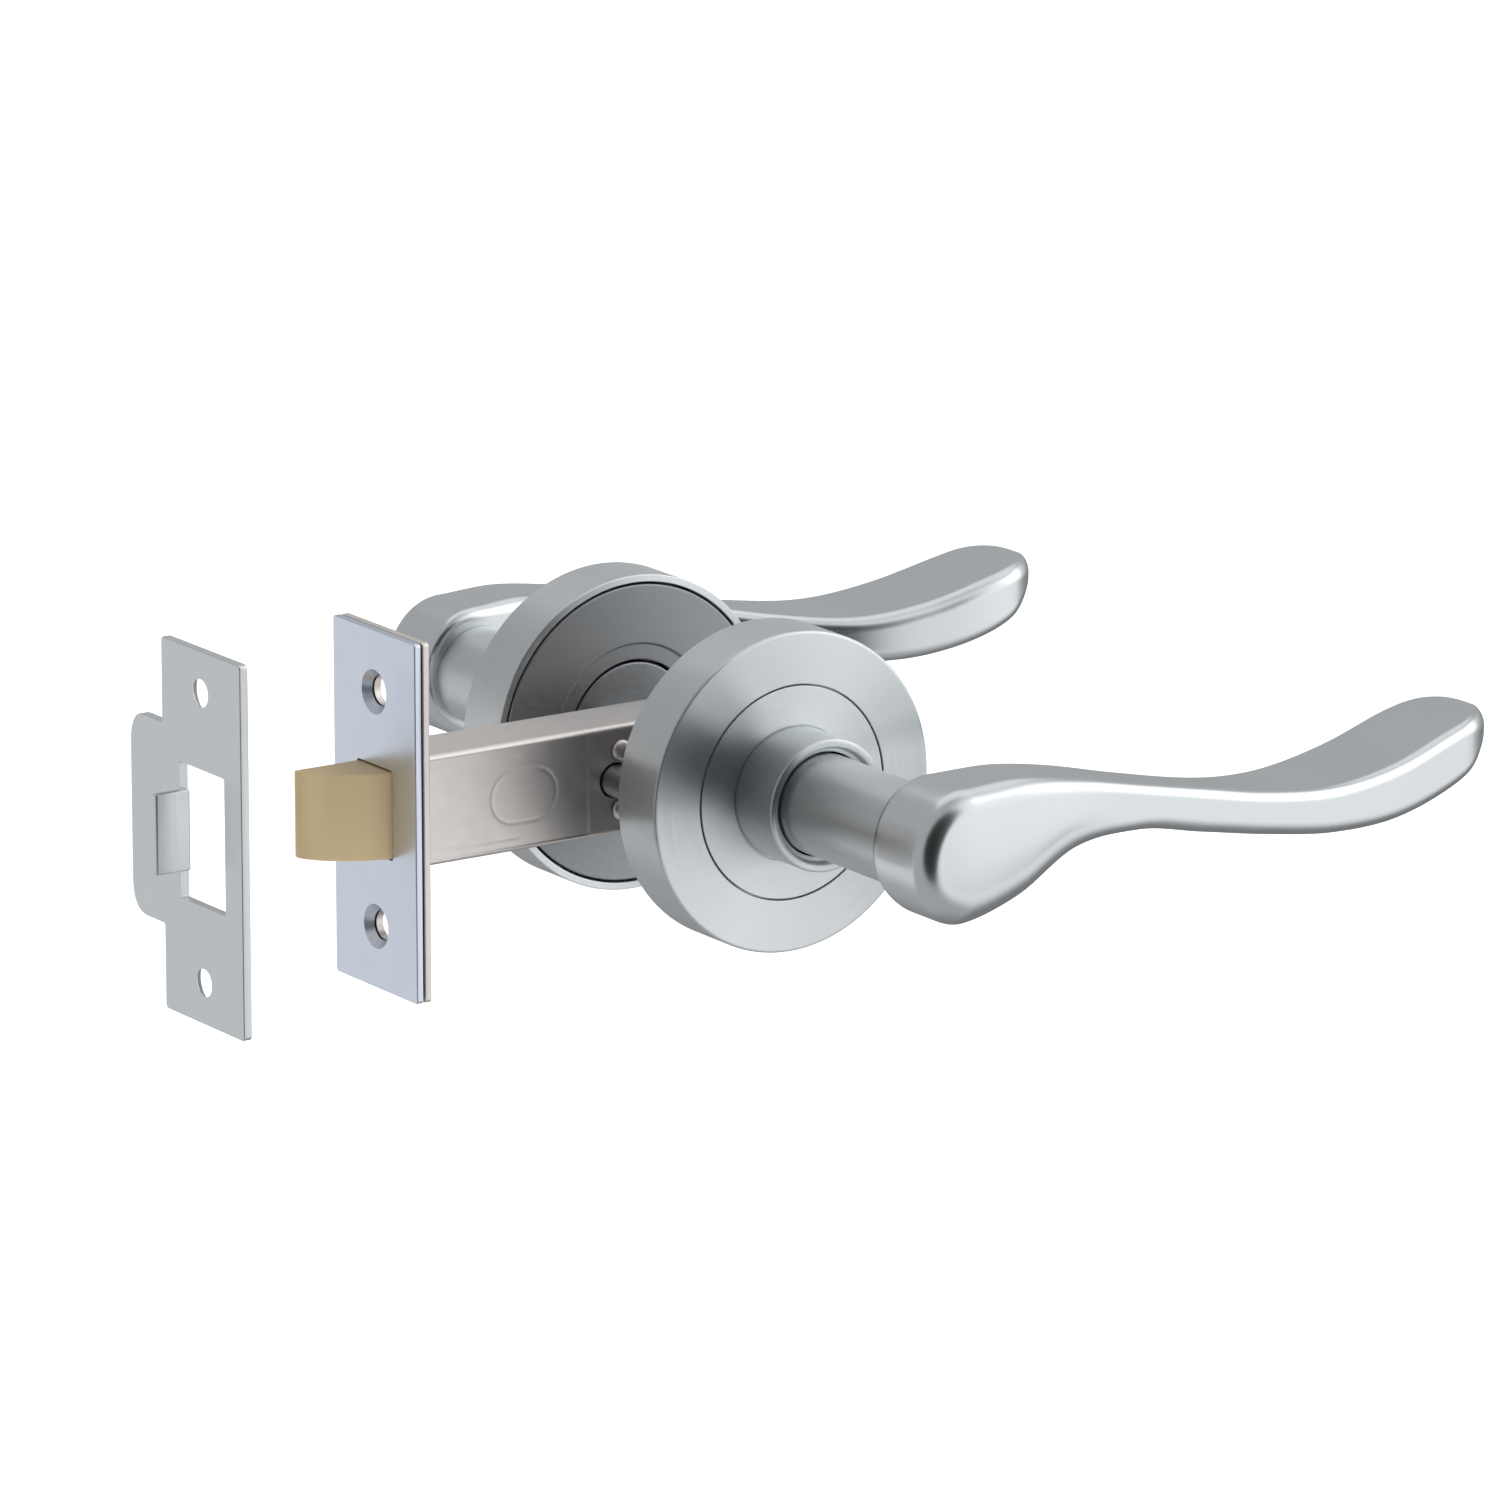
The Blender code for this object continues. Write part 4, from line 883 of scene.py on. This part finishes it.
def case_rows(wall, count, depth=0.0):
    """The case's section, a rectangle with bent corners, carried along X and pressed in."""
    half_y = (CASE_HIGH[1] - CASE_LOW[1]) / 2 - wall
    half_z = (CASE_HIGH[2] - CASE_LOW[2]) / 2 - wall
    bend = 0.8 * MM - 0.7 * wall
    level = np.linspace(-half_z + bend, half_z - bend, 76)
    turn = np.linspace(0, math.pi / 2, 8)[1:-1]
    corner = np.stack([half_y - bend * (1 - np.cos(turn)), half_z - bend * (1 - np.sin(turn))], 1)
    narrow = np.linspace(half_y - bend, -half_y + bend, 14)
    broad = np.stack([np.full_like(level, half_y), level], 1)
    narrow = np.stack([narrow, np.full_like(narrow, half_z)], 1)
    half = np.concatenate([broad, corner, narrow, corner[::-1] * (-1, 1)])
    section = np.concatenate([half, -half])
    x = np.linspace(CASE_LOW[0], CASE_HIGH[0] - max(wall, 0.6 * MM), count)
    points = np.empty((count, len(section), 3))
    points[..., 0] = x[:, None]
    points[..., 1:] = section
    broad = np.abs(section[:, 0]) > half_y - 0.01 * MM
    points[..., 1] -= pressed(points[..., 0], points[..., 2], depth) * broad * np.sign(section[:, 0])
    return points


def case_shell(depth):
    """The closed skin of the case: inside from its rear to the forend, outside back to the rear.

    The rear corner is a quarter circle: x grows by radius x sin t as the section shrinks by
    radius x (1 - cos t).
    """
    radius = 0.6 * MM
    inner, outer = case_rows(0.8 * MM, 60), case_rows(0.0, 290, depth)
    turn = np.linspace(0, math.pi / 2, 7)[1:, None, None]
    last = outer[-1][None]
    reach = np.abs(last[..., 1:]).max(axis=1, keepdims=True)
    shrink = 1 - radius * (1 - np.cos(turn)) / reach
    rear = np.concatenate([last[..., :1] + radius * np.sin(turn), last[..., 1:] * shrink], -1)
    inner_end, outer_end = inner[-1:] * (1, 0, 0), rear[-1:] * (1, 0, 0)
    rows = np.concatenate([inner_end, inner[::-1], outer, rear, outer_end])
    return rows + (0, MIDDLE, 0)


class LEVERSET_OT_latch_case(bpy.types.Operator):
    """Makes the folded latch case with its pressed shapes, holes and side windows"""

    bl_idname = "lever_set.latch_case"
    bl_label = "Latch case"

    def execute(self, context):
        rows = case_shell(context.scene.lever_set_sizes.press_depth)
        case = mesh_object("latch_case_fine", rows, grid_faces(*rows.shape[:2]), smooth=35)
        # Radius, x, z and steps of the holes for the follower, a through bolt and three rivets.
        holes = ((6.8, 0, 0, 96), (2.9, -19.0, 0, 48))
        holes += ((1.3, -17.9, 4.8, 24), (1.3, -17.9, -4.8, 24), (1.7, 10.4, 0, 32))
        cutters = []
        for radius, x, z, steps in holes:
            ends = [(x * MM, -MM, z * MM), (x * MM, DOOR + MM, z * MM)]
            cutters.append(rod(radius * MM, *ends, steps))
        # A window for the follower's wing, a slit and a small window, on both narrow sides.
        top = CASE_HIGH[2] + MM
        for start, end, half in ((-3.4, 4.6, 1.8), (-5.6, -3.0, 0.5), (-8.2, -5.2, 1.5)):
            low = (start * MM, MIDDLE - half * MM, -top)
            high = (end * MM, MIDDLE + half * MM, top)
            cutters.append(block(low, high))
        for cutter in cutters:
            apply_cuts(case, cutter)
        keep(case, "door_side", "nickel_plated_steel", "latch_case")
        return {"FINISHED"}


def screw_cutters(face, inward, reach, cone=True):
    """Two straight holes along X from the face, at +reach and -reach, with the heads' cones."""
    cutters = []
    for z in (-reach, reach):
        places = [(face + inward * step * MM, MIDDLE, z) for step in (-1, 3, -0.4, 2.1)]
        cutters.append(rod(SCREW_HOLE, *places[:2], 48))
        if cone:
            cutters.append(rod(SCREW_SINK + 0.4 * MM, *places[2:], 64, SCREW_SINK - 2.1 * MM))
    return cutters


class LEVERSET_OT_forend(bpy.types.Operator):
    """Makes the bright faceplate and the nickel forend behind it, with their window and holes"""

    bl_idname = "lever_set.forend"
    bl_label = "Forend plates"

    def execute(self, context):
        edge = context.scene.lever_set_sizes.plate_edge
        y = (BOLT_HIGH[1] - BOLT_LOW[1]) / 2 + PLAY
        z = BOLT_HIGH[2] + PLAY
        layers = (
            ("latch_faceplate", "bright_chrome_plate", True),
            ("latch_inner_forend", "nickel_plated_steel", False),
        )
        for node, slot, cone in layers:
            low, high = corners_of(node)
            face = low[0]
            outline = rounded_rectangle(low[1:], high[1:], 0.6 * MM)
            plate = prism(node + "_fine", outline, face, high[0], edge)
            window = rounded_rectangle((MIDDLE - y, -z), (MIDDLE + y, z), 0.5 * MM, 6)
            opening = prism("opening", window, face - MM, face + 3 * MM, 0.01 * MM)
            apply_cuts(plate, opening, *screw_cutters(face, 1, FIXING_REACH, cone))
            keep(plate, "door_side", slot, node)
        return {"FINISHED"}


def bolt_outline():
    """The bolt from above: flat on +Y, with a convex bevel from its nose on -Y.

    The bevel is the arc from 80 to 25 degrees of a circle, stretched to the bevel's box.
    """
    nose, near, _ = BOLT_LOW
    tail, far, _ = BOLT_HIGH
    rise, run = far - near - 0.8 * MM, FACE_LOW[0] - nose - 0.2 * MM
    first, last = math.radians(25), math.radians(80)
    lean = np.linspace(last, first, 40)
    deep = (math.cos(first) - np.cos(lean)) / (math.cos(first) - math.cos(last))
    along = (np.sin(lean) - math.sin(first)) / (math.sin(last) - math.sin(first))
    bevel = np.stack([nose + run * (1 - along), near + rise * deep], 1)
    return np.concatenate([[(tail, far), (nose + 0.3 * MM, far)], bevel, [(tail, near)]])


class LEVERSET_OT_latch_bolt(bpy.types.Operator):
    """Makes the brass latch bolt with its convex bevel and softened edges"""

    bl_idname = "lever_set.latch_bolt"
    bl_label = "Latch bolt"

    def execute(self, context):
        ends = BOLT_LOW[2], BOLT_HIGH[2]
        bolt = prism("latch_bolt_fine", bolt_outline(), *ends, 0.25 * MM, "Z", smooth=20)
        keep(bolt, "latch_bolt", "bolt_brass", "latch_bolt")
        return {"FINISHED"}


class LEVERSET_OT_latch_works(bpy.types.Operator):
    """Makes the follower with its eight-pointed hole, the latch spring and the case's rivets"""

    bl_idname = "lever_set.latch_works"
    bl_label = "Follower, spring and rivets"

    def execute(self, context):
        self.make_follower()
        self.make_spring()
        for node in ("latch_rivet_upper", "latch_rivet_lower", "latch_rivet_rear"):
            self.make_rivet(node)
        return {"FINISHED"}

    def make_follower(self):
        """A ring whose bore is two squares an eighth of a turn apart, and two wings.

        The bore's reach at an angle is half the side over the larger of |cos| and |sin|, taken
        from whichever square lies further out. Each row of the ring is one reach at one level.
        """
        steps, radius, rim = 384, 6.5 * MM, 0.3 * MM
        half = corners_of("latch_follower")[1][1] - MIDDLE
        angle = np.linspace(0, math.tau, steps, endpoint=False)
        turns = np.stack([angle, angle + math.pi / 4])
        square = SOCKET_SIDE / 2 / np.maximum(np.abs(np.cos(turns)), np.abs(np.sin(turns)))
        star = square.max(axis=0)
        circle = np.ones(steps)
        outside = [
            ((radius - inset * MM) * circle, half - drop * MM)
            for inset, drop in ((0, 0.25), (0.1, 0.06), (0.3, 0), (0.6, 0.06), (0.7, 0.3))
        ]
        outside += [(np.minimum(star + 0.2 * MM, radius - 0.75 * MM), half - rim)]
        outside += [(np.minimum(star, radius - 0.8 * MM), half - rim - 0.2 * MM)]
        rows = outside + [(reach, -level) for reach, level in outside[::-1]]
        reach = np.stack([row[0] for row in rows])
        level = np.array([row[1] for row in rows])[:, None]
        x, z = reach * np.cos(angle), reach * np.sin(angle)
        points = np.stack([x, np.broadcast_to(level, x.shape) + MIDDLE, z], -1)
        faces = grid_faces(len(rows), steps, wrap_rows=True)
        ring = mesh_object("latch_follower_fine", points, faces, smooth=35)
        wings = []
        for turn in (-30, 210):
            wing = block((-1.3 * MM, -1.5 * MM, 6.2 * MM), (1.3 * MM, 1.5 * MM, 8.5 * MM))
            place = Matrix.Translation((0, MIDDLE, 0)) @ Matrix.Rotation(math.radians(turn), 4, "Y")
            wing.data.transform(place)
            wings.append(wing)
        apply_cuts(ring, *wings, operation="UNION")
        keep(ring, "follower", "follower_brass", "latch_follower")

    def make_spring(self):
        """A compression spring: angle and place along X both grow with the share of its length.

        Its two end turns lie closer, as ground ends do.
        """
        low, high = corners_of("latch_spring")
        wire, coil = 0.5 * MM, 3.6 * MM
        start, end = low[0] + wire, high[0] - wire
        share = np.linspace(0, 1, 500)
        along = share - 0.035 * np.sin(share * math.tau * 2)
        angle = share * 6 * math.tau
        spread = np.stack([0 * angle, np.cos(angle), np.sin(angle)], 1)
        axis = np.stack([start + (end - start) * along, 0 * share + MIDDLE, 0 * share], 1)
        path = spread * coil + axis
        spring = wire_object("latch_spring_fine", path, spread + (1, 0, 0), wire)
        keep(spring, "door_side", "spring_steel", "latch_spring")
        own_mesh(spring)

    def make_rivet(self, node):
        """A pin with a dome at each end: radius = head x cos t, height = dome x sin t."""
        low, high = corners_of(node)
        centre = (low + high) / 2
        head, top, _ = (high - low) / 2
        seat = top - 0.55 * head
        turn = np.linspace(0, math.pi / 2, 10)
        dome = np.stack([head * np.cos(turn), seat + (top - seat) * np.sin(turn)], 1)
        upper = np.concatenate([[(head / 1.75, seat)], dome])
        profile = np.concatenate([(upper * (1, -1))[::-1], upper])
        angle = np.linspace(0, math.tau, 48, endpoint=False)
        x = centre[0] + profile[:, :1] * np.cos(angle)
        z = centre[2] + profile[:, :1] * np.sin(angle)
        points = np.stack([x, np.broadcast_to(profile[:, 1:], x.shape) + MIDDLE, z], -1)
        rivet = mesh_object(node + "_fine", points, grid_faces(len(profile), 48), smooth=40)
        keep(rivet, "door_side", "nickel_plated_steel", node)


# ---------------------------------------------------------------- strike plate


class LEVERSET_OT_strike(bpy.types.Operator):
    """Makes the strike plate: opening, countersunk holes, round-cornered lip and folded tab"""

    bl_idname = "lever_set.strike"
    bl_label = "Strike plate"

    def execute(self, context):
        edge = context.scene.lever_set_sizes.plate_edge
        face = STRIKE_HIGH[0]
        back = face - STRIKE_THICKNESS
        plate = prism("strike_plate_fine", self.outline(), back, face, edge)
        y, z = 6.7 * MM, 11 * MM
        window = rounded_rectangle((MIDDLE - y, -z), (MIDDLE + y, z), 0.4 * MM, 6)
        opening = prism("opening", window, back - MM, face + MM, 0.01 * MM)
        apply_cuts(plate, opening, *screw_cutters(face, -1, 23.25 * MM))
        keep(plate, "strike", "strike_satin_chrome", "strike_plate")
        tab = self.make_tab(MIDDLE + y, face)
        keep(tab, "strike", "strike_satin_chrome", "strike_plate")
        return {"FINISHED"}

    def outline(self):
        """The plate with its lip as (y, z), its corners softened."""
        near, edge = STRIKE_LOW[1], STRIKE_HIGH[1]
        far, half, lip = near + 23.5 * MM, STRIKE_HIGH[2], 16.3 * MM
        corners = [(near, -half), (far, -half), (far, -lip), (edge, -lip)]
        corners += [(y, -z) for y, z in corners[::-1]]
        radii = [k * MM for k in (0.8, 0.8, 0.5, 5.5, 5.5, 0.5, 0.8, 0.8)]
        return round_corners(corners, radii, rows=14)

    def make_tab(self, top, face):
        """The tongue folded back from the opening's edge: a straight run with soft corners."""
        thick, end = 1.2 * MM, STRIKE_LOW[0]
        outline = rounded_rectangle((end, top - thick), (face - 0.3 * MM, top), 0.35 * MM, 6)
        return prism("strike_tab_fine", outline, -6.5 * MM, 6.5 * MM, 0.25 * MM, "Z")


# ---------------------------------------------------------------- the rest and the stage


class LEVERSET_OT_inner_parts(bpy.types.Operator):
    """Gives every part that keeps its own shape the finish of its slot"""

    bl_idname = "lever_set.inner_parts"
    bl_label = "Inner parts"

    def execute(self, context):
        for entry in frame["record"]["subparts"]:
            node = frame["nodes"][entry["node"]]
            node.data.materials.clear()
            node.data.materials.append(finishes()[entry["material_slot"]])
        return {"FINISHED"}


def direction(azimuth, elevation):
    """A unit vector: azimuth 0 towards -Y, positive towards +X, elevation over the horizon."""
    a, e = math.radians(azimuth), math.radians(elevation)
    return np.array([math.sin(a) * math.cos(e), -math.cos(a) * math.cos(e), math.sin(e)])


def add_to_scene(name, data, place, towards):
    """A lamp or camera that looks against the given direction."""
    made = bpy.data.objects.new(name, data)
    bpy.context.scene.collection.objects.link(made)
    made.location = tuple(place)
    made.rotation_mode = "QUATERNION"
    made.rotation_quaternion = Vector(towards).to_track_quat("Z", "Y")
    return made


class LEVERSET_OT_stage(bpy.types.Operator):
    """Makes the pale table, the studio round the set, its lamps and the camera"""

    bl_idname = "lever_set.stage"
    bl_label = "Stage"

    def execute(self, context):
        stage = context.scene.lever_set_stage
        low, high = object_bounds()
        centre = np.array((low + high) / 2)
        self.make_table(low.z - stage.table_drop)
        self.make_room(stage)
        self.make_lamp("key_softbox", direction(62, 24), 1.4, (1.1, 1.3), stage.key_power, centre)
        self.make_lamp("top_softbox", direction(150, 68), 1.3, (1.4, 1.0), stage.top_power, centre)
        self.make_camera(centre, stage)
        context.scene.view_settings.view_transform = "Standard"
        return {"FINISHED"}

    def make_table(self, level):
        """Opal acrylic lit from below: an even white with next to no shadow."""
        opal, _, shader = new_material(
            "acrylic_opal_lit", 0.0, Roughness=0.9, Specular_IOR_Level=0.0, Emission_Strength=0.75
        )
        shader.inputs["Base Color"].default_value = (0.9, 0.9, 0.9, 1)
        shader.inputs["Emission Color"].default_value = (1, 1, 1, 1)
        reach = 10
        mesh = bpy.data.meshes.new("table")
        corners = [(-reach, -reach), (reach, -reach), (reach, reach), (-reach, reach)]
        mesh.from_pydata([(x, y, level) for x, y in corners], [], [(0, 1, 2, 3)])
        mesh.materials.append(opal)
        table = bpy.data.objects.new("table", mesh)
        bpy.context.scene.collection.objects.link(table)
        table.visible_glossy = False
        table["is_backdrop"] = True

    def make_room(self, stage):
        """The studio as light from every direction: grey walls, a broad white screen to the front
        right, a window behind to the left, a dark gap in front and a dark corner on the right.
        What lies straight behind the set is white."""
        world = bpy.data.worlds.new("studio")
        bpy.context.scene.world = world
        world.use_nodes = True
        tree = world.node_tree
        tree.nodes.clear()
        way = add_node(tree, "ShaderNodeTexCoord", output="Generated")

        def lobe(azimuth, elevation, start, end, low, high):
            """Smoothly from low to high as the cosine to a direction goes from start to end."""
            towards = tuple(direction(azimuth, elevation))
            facing = vector_step(tree, "DOT_PRODUCT", way, towards, output="Value")
            spans = {0: facing, 1: start, 2: end, 3: low, 4: high}
            return add_node(tree, "ShaderNodeMapRange", spans, interpolation_type="SMOOTHSTEP")

        screen = lobe(40, 15, 0.3, 1.0, 0.0, stage.screen_light)
        window = lobe(-146, -15, 0.88, 0.99, 0.0, stage.window_light)
        light = math_step(tree, "ADD", math_step(tree, "ADD", screen, window), stage.wall_light)
        gap = lobe(-30, 11, 0.66, 0.82, 1.0, 0.06)
        corner = lobe(118, -38, 0.6, 0.95, 1.0, 0.5)
        light = math_step(tree, "MULTIPLY", math_step(tree, "MULTIPLY", light, gap), corner)
        seen = add_node(tree, "ShaderNodeLightPath", output="Is Camera Ray")
        light = add_node(tree, "ShaderNodeMix", {0: seen, 2: light, 3: 1.0})
        shade = add_node(tree, "ShaderNodeBackground", {"Color": (0.98, 0.99, 1, 1), 1: light})
        tree.links.new(shade, tree.nodes.new("ShaderNodeOutputWorld").inputs[0])

    def make_lamp(self, name, towards, distance, size, power, centre):
        """A large soft lamp that faces the set."""
        data = bpy.data.lights.new(name, "AREA")
        data.shape = "RECTANGLE"
        data.size, data.size_y = size
        data.energy = power
        add_to_scene(name, data, centre + distance * towards, towards)

    def make_camera(self, centre, stage):
        """A long lens at the shown angle, aimed at the middle of the set."""
        data = bpy.data.cameras.new("camera")
        data.lens = stage.lens
        data.clip_end = 100
        back = direction(stage.azimuth, stage.elevation)
        distance = stage.view_width * data.lens / data.sensor_width
        right = direction(stage.azimuth + 90, 0)
        aim = centre + right * stage.aim_right
        bpy.context.scene.camera = add_to_scene("camera", data, aim + back * distance, back)


# ---------------------------------------------------------------- add-on


def size(name, description, default):
    return FloatProperty(
        name=name, description=description, default=default, min=0, precision=5, unit="LENGTH"
    )


def amount(name, description, default, unit="NONE"):
    return FloatProperty(name=name, description=description, default=default, unit=unit)


def colour(name, description, shade):
    return FloatVectorProperty(
        name=name, description=description, default=linear(shade), subtype="COLOR", min=0, max=1
    )


class LeverSetSizes(bpy.types.PropertyGroup):
    """Sizes of the fine surfaces, in metres"""

    bulb_round: size("Bulb end", "Length over which the bulb closes over the spindle", 10 * MM)
    tip_round_height: size("Tip in height", "Length over which the tip closes in height", 7.2 * MM)
    tip_round_depth: size("Tip in plan", "Length over which the tip closes in plan", 8.8 * MM)
    bulb_edge: size("Bulb edge", "Radius of the bulb's front edge", 3.6 * MM)
    bulb_bottom_edge: size("Bulb bottom edge", "Radius of the edge under the bulb", 5.5 * MM)
    top_edge: size("Top edge", "Radius along the top of the grip's front", 1.9 * MM)
    bottom_edge: size("Bottom edge", "Radius along the bottom of the grip's front", 2.4 * MM)
    tip_edge: size("Tip edge", "Radius of the edges round the tip", 3.2 * MM)
    back_edge: size("Back edge", "Radius of the back edge at the neck", 1.5 * MM)
    back_far_edge: size("Far back edge", "Radius of the back edge along the grip", 2.4 * MM)
    crown: size("Crown", "How far the front of the bulb swells", 0.49 * MM)
    rose_edge: size("Rose edge", "Radius of the rose's rim", 0.5 * MM)
    collar_edge: size("Collar edge", "Radius of the collar's rim", 0.45 * MM)
    plate_edge: size("Plate edge", "Radius of the forend's and strike's rims", 0.18 * MM)
    press_depth: size("Press depth", "How far the latch case's patch stands proud", 0.12 * MM)
    thread_pitch: size("Thread pitch", "Pitch of the through bolts", 0.7 * MM)


class LeverSetLooks(bpy.types.PropertyGroup):
    """Colours and grain of the finishes"""

    chrome: colour("Satin chrome", "Colour of the brushed chrome plate", "#dde1e3")
    nickel: colour("Nickel", "Colour of the nickel plate on the latch", "#eee8e4")
    brass: colour("Bolt brass", "Colour of the latch bolt", "#f6dcae")
    # Real scratches lie about 0.05 mm apart. This is as fine as a picture of the whole set shows.
    scratch_spacing: size("Scratch spacing", "Distance between brushing scratches", 0.22 * MM)


class LeverSetStage(bpy.types.PropertyGroup):
    """Room, lamps and camera"""

    key_power: amount("Key lamp", "Power of the front lamp", 3, "POWER")
    top_power: amount("Top lamp", "Power of the rear top lamp", 2, "POWER")
    wall_light: amount("Wall light", "Brightness of the studio's walls", 0.47)
    screen_light: amount("Screen light", "Brightness that the screen adds", 0.66)
    window_light: amount("Window light", "Brightness that the window adds", 0.35)
    table_drop: size("Table drop", "Height of the set over the table", 110 * MM)
    azimuth: amount("Azimuth", "Camera angle round the set in degrees", -34)
    elevation: amount("Elevation", "Camera height angle in degrees", 14.6)
    lens: amount("Lens", "Focal length in mm", 250)
    view_width: size("View width", "Width of the picture at the set", 240 * MM)
    aim_right: amount("Aim right", "Aim to the right of the middle", 4 * MM, "LENGTH")


GROUPS = {
    "lever_set_sizes": LeverSetSizes,
    "lever_set_looks": LeverSetLooks,
    "lever_set_stage": LeverSetStage,
}

STEPS = (
    LEVERSET_OT_inner_parts,
    LEVERSET_OT_levers,
    LEVERSET_OT_roses,
    LEVERSET_OT_cassettes,
    LEVERSET_OT_spindle,
    LEVERSET_OT_latch_case,
    LEVERSET_OT_forend,
    LEVERSET_OT_latch_bolt,
    LEVERSET_OT_latch_works,
    LEVERSET_OT_strike,
    LEVERSET_OT_stage,
)


class LEVERSET_PT_panel(bpy.types.Panel):
    """Lists the set's sizes, finishes and steps"""

    bl_idname = "LEVERSET_PT_panel"
    bl_label = "Door lever set"
    bl_space_type = "VIEW_3D"
    bl_region_type = "UI"
    bl_category = "Lever set"

    def draw(self, context):
        for pointer, group in GROUPS.items():
            box = self.layout.box()
            for key in group.__annotations__:
                box.prop(getattr(context.scene, pointer), key)
        for step in STEPS:
            self.layout.operator(step.bl_idname)


CLASSES = (*GROUPS.values(), *STEPS, LEVERSET_PT_panel)


def register():
    for item in CLASSES:
        bpy.utils.register_class(item)
    for pointer, group in GROUPS.items():
        setattr(bpy.types.Scene, pointer, PointerProperty(type=group))


def unregister():
    for pointer in GROUPS:
        delattr(bpy.types.Scene, pointer)
    for item in reversed(CLASSES):
        bpy.utils.unregister_class(item)


def main():
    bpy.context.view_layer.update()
    register()
    for step in STEPS:
        group, action = step.bl_idname.split(".")
        getattr(getattr(bpy.ops, group), action)()


if __name__ == "__main__":
    main()
